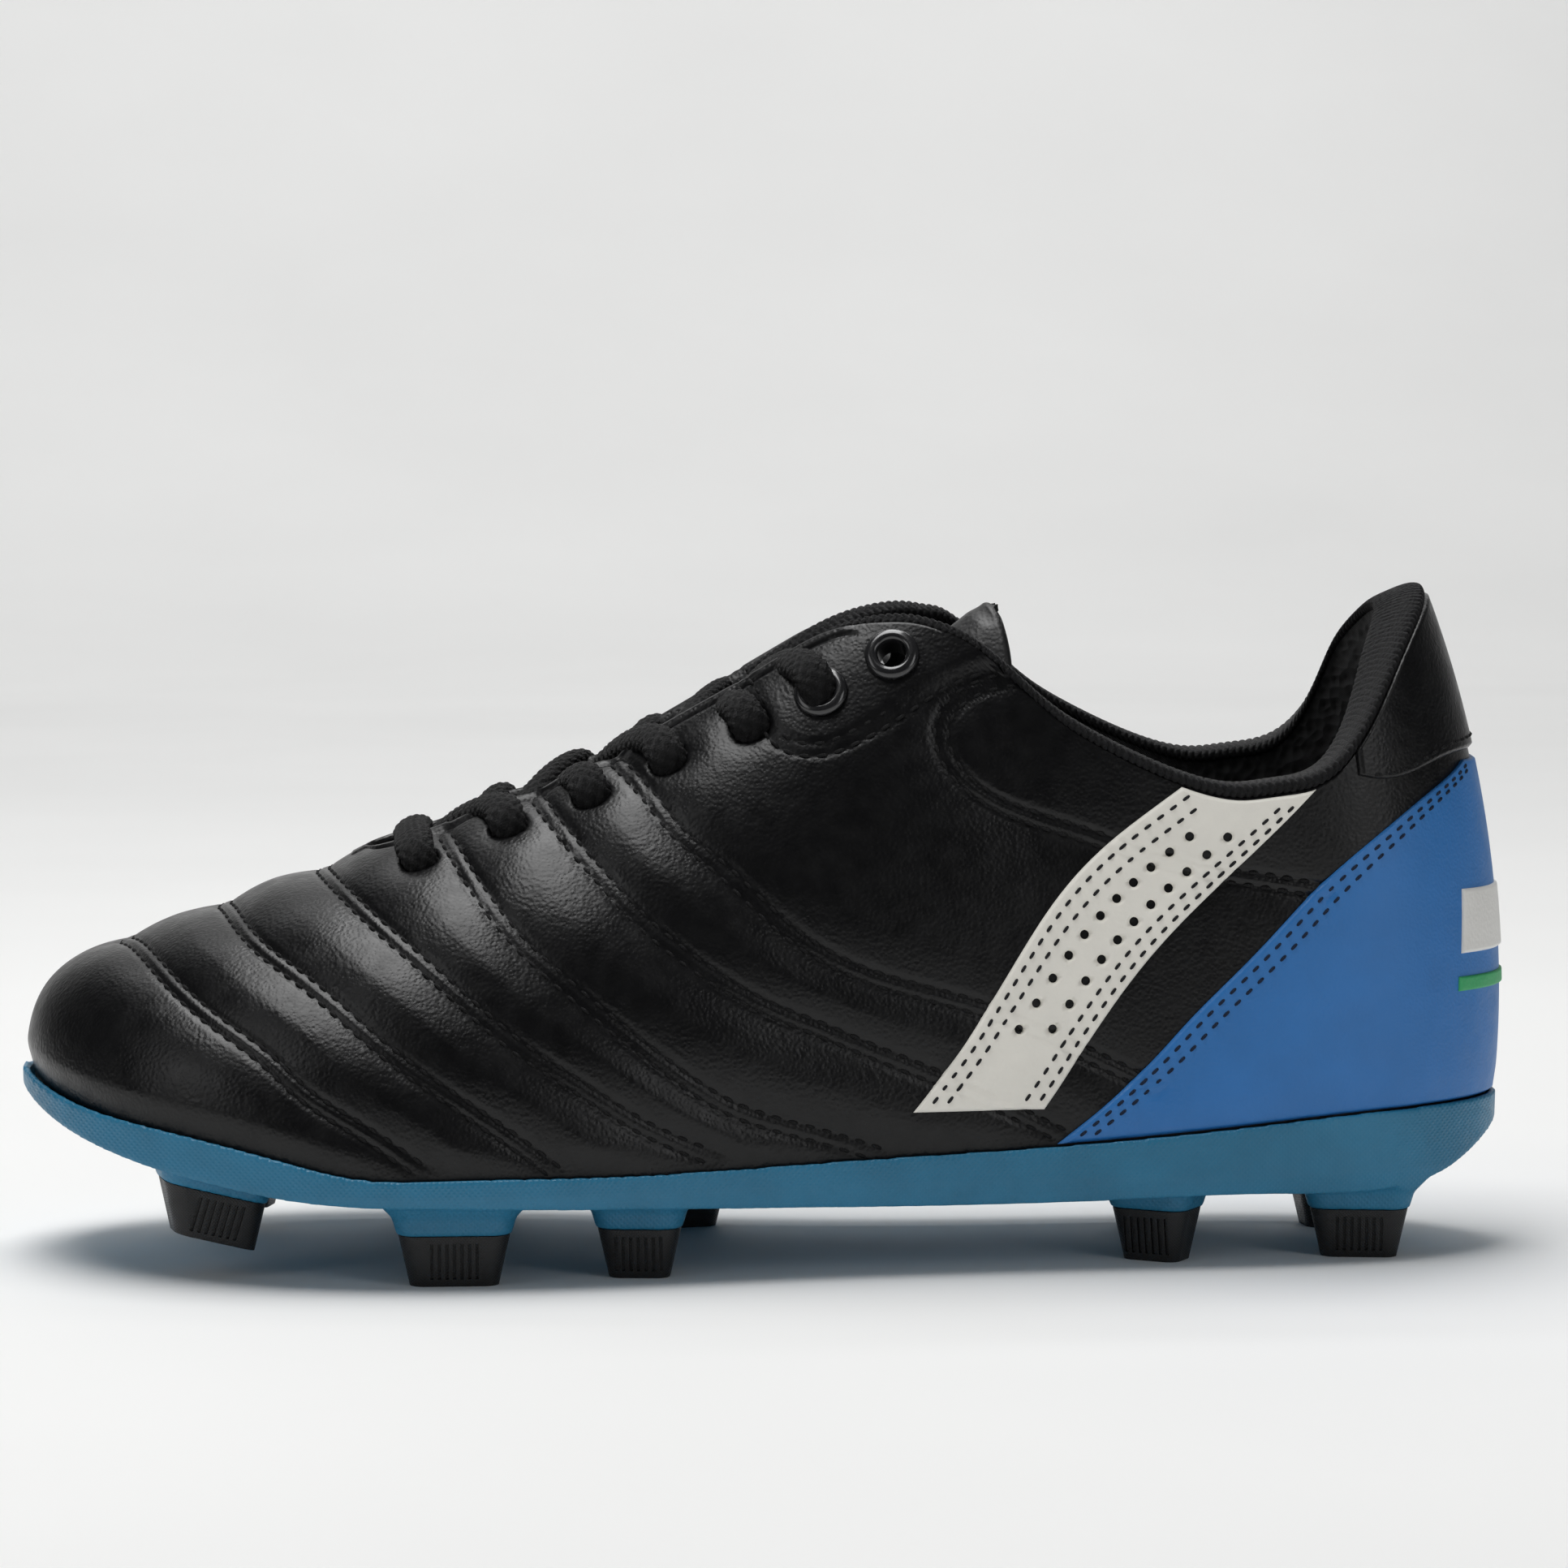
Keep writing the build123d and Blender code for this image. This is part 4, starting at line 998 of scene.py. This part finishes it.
def tongue_at(u, v):
    row = tongue_rows(u)
    rounding = np.sqrt(np.clip(1 - ((u - 1 + CORNER) / CORNER).clip(0, 1) ** 2, 0, 1))
    v = 0.5 + (v - 0.5) * mix(END_WIDTH, 1.0, rounding)
    slope = unit((tongue_rows(u + 0.01) - tongue_rows(u - 0.01))[..., :2])
    across = 2 * v - 1
    sag = row[..., 3] * across**2
    middle = 3.0 * (1 - step(row[..., 0], -60, 0))
    x = row[..., 0] + sag * slope[..., 1]
    return np.stack([x, middle + row[..., 2] * across, row[..., 1] - sag * slope[..., 0]], -1)


def tongue_normal(u, v):
    e = 1e-3
    by_u = tongue_at(u + e, v) - tongue_at(u - e, v)
    by_v = tongue_at(u, v + e) - tongue_at(u, v - e)
    return unit(np.cross(by_u, by_v))


rows_u, rows_v = 190, 84
u, v = np.meshgrid(1 - np.linspace(1, 0, rows_u) ** 1.6, np.linspace(0, 1, rows_v), indexing="ij")
u, v = u.ravel(), v.ravel()
base, normal = tongue_at(u, v), tongue_normal(u, v)
soft = crumple(base, 13.0, 11.0)
rim_d = np.minimum(np.minimum(v, 1 - v) * 32, (1 - u) * 130)
crown = 0.5 * step(rim_d, 2.5, 8) - 0.15 * np.exp(-(((rim_d - 3.2) / 0.8) ** 2)) * (u < 0.86)
padding = mix(5.9, 2.9, step(u, 0.6, 0.95))
face, back = crown - 0.3 + 0.2 * soft, -padding - 0.2 * soft
tongue = layer("tongue_pad", base, normal, lattice(rows_u, rows_v), face, back,
               [tongue_leather, plain_lining], "tongue_leather", edge=1.25, both=True, body="tongue")
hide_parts("tongue_face", "tongue_foam", "tongue_lining")
lines = []
for across in (0.1, 0.9):
    u = np.linspace(0.03, 0.62, 120)
    n = tongue_normal(u, np.full_like(u, across))
    lines.append((tongue_at(u, np.full_like(u, across)) - 0.35 * n, n))
sewn("tongue_stitches", lines, black_thread, "tongue_leather", body="tongue")


# ---------------------------------------- lace, eyelets
def tail(side):
    k = float(locate(*HOLES[RINGS[0]])[0])
    stops = []
    for t, shift in [(0.44, 1.0), (0.48, 0.75), (0.53, 0.5), (0.59, 0.3), (0.66, 0.1)]:
        rib = k + shift if side == "lateral" else LAST - k - shift
        stops.append(form(rib, t) - form_normal(rib, t) * (LACE / 2 + 3.2))
    return stops


def lace_points():
    """The corners of the lace's route, from its tail on the lateral side to its tail on the medial side."""
    outside, inside = LACE / 2 + 0.9, LACE / 2 + LEATHER + LINING + 2 * GAP + 0.6

    def stop(index, side, raised_by, toward):
        here, axis, centre = hole_frame(index, side)
        lift = 1.9 if index in RINGS and raised_by > 0 else 0
        return here + axis * (raised_by + lift) + centre * toward

    def over_stops(index, side):
        return [stop(index, side, outside - 1.9, 7.0), stop(index, side, outside - 0.9, -0.9)]

    def under_stops(index, side):
        return [stop(index, side, -inside, -0.9), stop(index, side, -inside - 0.4, 6.0)]

    def crossing(index, height):
        places = [over_stops(index + 1, s)[0] for s in SIDES]
        places += [under_stops(index, s)[1] for s in SIDES]
        return [sum(places) / 4 + np.array([-0.4 * height, 0, 0.69 * height + 0.2])]

    def other(side):
        return "medial" if side == "lateral" else "lateral"

    top = RINGS[0]
    route = tail("lateral") + under_stops(top, "lateral")[:1]
    side = "lateral"
    for index in range(top, 0, -1):
        route += over_stops(index, side)[::-1] + crossing(index - 1, CROSSING)
        side = other(side)
        route += under_stops(index - 1, side)[::-1]
    route += over_stops(0, side)[::-1]
    side = other(side)
    for index in range(top):
        route += over_stops(index, side) + under_stops(index, side) + crossing(index, -CROSSING)
        side = other(side)
    return route + over_stops(top, side) + under_stops(top, side)[:1] + tail("medial")[::-1]


route = lace_points()


def smooth_line(points, resolution=24):
    """Points along the NURBS line of a route."""
    curve = bpy.data.curves.new("route", "CURVE")
    curve.dimensions = "3D"
    line = curve.splines.new("NURBS")
    line.points.add(len(points) - 1)
    for control, p in zip(line.points, points):
        control.co = (*(float(x) for x in p), 1.0)
    line.order_u = 3
    line.use_endpoint_u = True
    line.resolution_u = resolution
    holder = linked("route", curve)
    mesh = bpy.data.meshes.new_from_object(holder)
    found = np.array([v.co for v in mesh.vertices])
    bpy.data.objects.remove(holder)
    return found


LACE_HALF_WIDTH, LACE_HALF_THICK = 3.35, 2.15
LACE_SPACING, LACE_AROUND = 0.3, 50
BRAID_STRANDS, BRAID_LAY = 8, 1.9  # strands each way round, and the length in which a strand shifts by one
line = smooth_line(route)
line_length = run_length(line)
gone = np.arange(0, line_length[-1], LACE_SPACING)
centre = at_length(gone, line_length, line)
way = unit(np.gradient(centre, axis=0))
coarse = np.arange(0, len(skin), 7)
ground = tree(skin[coarse])
facing = np.array([skin_normal[coarse[ground.find(p)[1]]] for p in centre])
frames = []
up = unit(facing[0] - np.dot(facing[0], way[0]) * way[0])
for w, f in zip(way, facing):
    up = unit(up - np.dot(up, w) * w)
    wish = f - np.dot(f, w) * w
    strength = np.linalg.norm(wish)
    if strength > 0.2:
        wish = wish / strength * (1 if np.dot(wish, up) > 0 else -1)
        up = unit(mix(up, wish, 0.12 * strength))
    frames.append(up)
frames = np.array(frames)
side_way = np.cross(frames, way)
angle = np.linspace(0, 2 * np.pi, LACE_AROUND, endpoint=False)
leftward = BRAID_STRANDS * angle[None, :] / (2 * np.pi) + gone[:, None] / BRAID_LAY
rightward = BRAID_STRANDS * angle[None, :] / (2 * np.pi) - gone[:, None] / BRAID_LAY
over_left = (np.floor(leftward) + np.floor(rightward)) % 2 == 0
across = np.abs(np.sin(np.pi * np.where(over_left, leftward, rightward)))
length_wise = np.abs(np.sin(np.pi * np.where(over_left, rightward, leftward)))
braid = 0.6 * np.sqrt(across) * (0.55 + 0.45 * length_wise)
width = 1 + 0.06 * np.sin(gone / 3.1) + 0.05 * np.sin(gone / 7.7)
wide = (LACE_HALF_WIDTH * width)[:, None] * np.cos(angle) * (0.9 + braid / LACE_HALF_WIDTH)
thick = LACE_HALF_THICK * np.sin(angle)[None, :] * (0.86 + braid / LACE_HALF_THICK)
points = centre[:, None, :] + side_way[:, None, :] * wide[..., None] + frames[:, None, :] * thick[..., None]
faces = tube_faces(len(centre), LACE_AROUND)[:, [0, 3, 2, 1]]
lace = build("lace_braid", points.reshape(-1, 3), faces, [lace_yarn], "lace_cord", sharp=80)
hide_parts("lace")

# Turned profiles: radius, height
AGLET = [(0.3, -11), (1.5, -11), (1.8, -10.6), (1.95, -9.5), (1.95, -2.4), (2.1, -2.0), (1.95, -1.6),
         (2.0, -1.0), (2.15, -0.6), (2.0, -0.1), (1.8, 0.0), (0.3, 0.0)]
for side, ends in (("lateral", route[:2]), ("medial", route[::-1][:2])):
    way_out = unit(ends[0] - ends[1])
    tip = lathe(f"aglet_tip_{side}", AGLET, ends[0], -way_out, aglet_clear, "aglet_plastic")
    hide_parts(f"aglet_{side}")

RING = [(2.6, -3.4), (2.6, 1.7), (2.75, 2.2), (3.1, 2.55), (3.6, 2.65), (4.2, 2.55), (4.7, 2.25),
        (4.95, 1.8), (5.0, 1.5), (4.9, 1.2), (3.2, 1.1), (3.2, -2.4), (4.4, -2.5), (4.5, -2.9), (4.2, -3.3),
        (3.2, -3.5)]
for side in SIDES:
    for i in RINGS:
        here, axis, _ = hole_frame(i, side)
        ring = lathe(f"ring_{side}_{i + 1}", RING, here, axis, ring_black, "eyelet_black")
        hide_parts(f"eyelet_{side}_{i + 1}")


# ---------------------------------------- sole
def from_cad(name, node):
    return linked(name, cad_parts[node].data.copy())


def settle(obj, node, material, slot, body="shoe"):
    """Write a piece's modifiers into its mesh and let it stand for its node."""
    mesh = bpy.data.meshes.new_from_object(obj.evaluated_get(bpy.context.evaluated_depsgraph_get()))
    obj.modifiers.clear()
    obj.data = mesh
    mesh.materials.clear()
    mesh.materials.append(material)
    mesh.shade_smooth()
    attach(obj, body)
    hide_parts(node)
    return mesh


def moulded(name, node, voxel, rounds, *look_and_slot):
    """The CAD piece as one soft moulding: even cells, rounded edges."""
    obj = from_cad(name, node)
    remesh = obj.modifiers.new("even", "REMESH")
    remesh.mode = "VOXEL"
    remesh.voxel_size = voxel * MM
    smooth = obj.modifiers.new("soft", "SMOOTH")
    smooth.factor = 0.5
    smooth.iterations = rounds
    settle(obj, node, *look_and_slot)


def crisp(name, node, radius, *look_and_slot):
    """The CAD piece with its edges rounded and its corners kept."""
    obj = from_cad(name, node)
    obj.modifiers.new("joined", "WELD").merge_threshold = 0.002 * MM
    bevel = obj.modifiers.new("rounded", "BEVEL")
    bevel.width = radius * MM
    bevel.segments = 2
    bevel.limit_method = "ANGLE"
    bevel.angle_limit = math.radians(28)
    settle(obj, node, *look_and_slot).set_sharp_from_angle(angle=math.radians(45))


moulded("outsole_moulding", "outsole_plate", 0.5, 3, sole_blue, "outsole_blue")
for node in sorted(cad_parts):
    if node.startswith("stud_tip"):
        crisp(node.replace("stud_tip", "stud"), node, 0.12, stud_black, "stud_black")
moulded("sockliner_pad", "sockliner", 0.9, 8, sock_fabric, "sockliner_foam", "sockliner")

for node, material in (("insole_board", board), ("toe_puff", stiff), ("heel_counter", stiff)):
    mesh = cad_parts[node].data
    mesh.materials.clear()
    mesh.materials.append(material)

# ---------------------------------------- floor and surroundings
# The camera sees the backdrop; everything else is lit by the fill light.
SWEEP_START, SWEEP_RADIUS, ROOM = 1.7, 1.6, 6.0  # metres
arc = np.linspace(0, np.pi / 2, 24)
profile = [(-ROOM, 0.0)]
profile += [(SWEEP_START + SWEEP_RADIUS * math.sin(a), SWEEP_RADIUS * (1 - math.cos(a))) for a in arc]
profile.append((SWEEP_START + SWEEP_RADIUS, 4.0))
floor_points = [(x, y, z) for y, z in profile for x in (-ROOM, ROOM)]
floor_faces = [(2 * i, 2 * i + 1, 2 * i + 3, 2 * i + 2) for i in range(len(profile) - 1)]
floor_mesh = bpy.data.meshes.new("floor")
floor_mesh.from_pydata(floor_points, [], floor_faces)
floor_mesh.shade_smooth()
floor = linked("floor", floor_mesh)
paper = Finish("floor_paper")
tint = paper.colours(paper.noise(3.0), (0.3, srgb(240, 240, 239)), (0.7, srgb(245, 245, 244)))
floor_mesh.materials.append(paper.end(tint, 0.75))

world = bpy.data.worlds.new("studio")
world.use_nodes = True
tree_nodes, tree_links = world.node_tree.nodes, world.node_tree.links
backdrop = tree_nodes["Background"]
backdrop.inputs["Color"].default_value = (0.8, 0.8, 0.8, 1)
backdrop.inputs["Strength"].default_value = 0.9
fill_light = tree_nodes.new("ShaderNodeBackground")
fill_light.inputs["Color"].default_value = (0.8, 0.82, 0.85, 1)
fill_light.inputs["Strength"].default_value = 0.06
chosen = tree_nodes.new("ShaderNodeMixShader")
tree_links.new(tree_nodes.new("ShaderNodeLightPath").outputs["Is Camera Ray"], chosen.inputs["Fac"])
tree_links.new(fill_light.outputs[0], chosen.inputs[1])
tree_links.new(backdrop.outputs[0], chosen.inputs[2])
tree_links.new(chosen.outputs[0], tree_nodes["World Output"].inputs["Surface"])
bpy.context.scene.world = world
bpy.context.scene.view_settings.view_transform = "Standard"
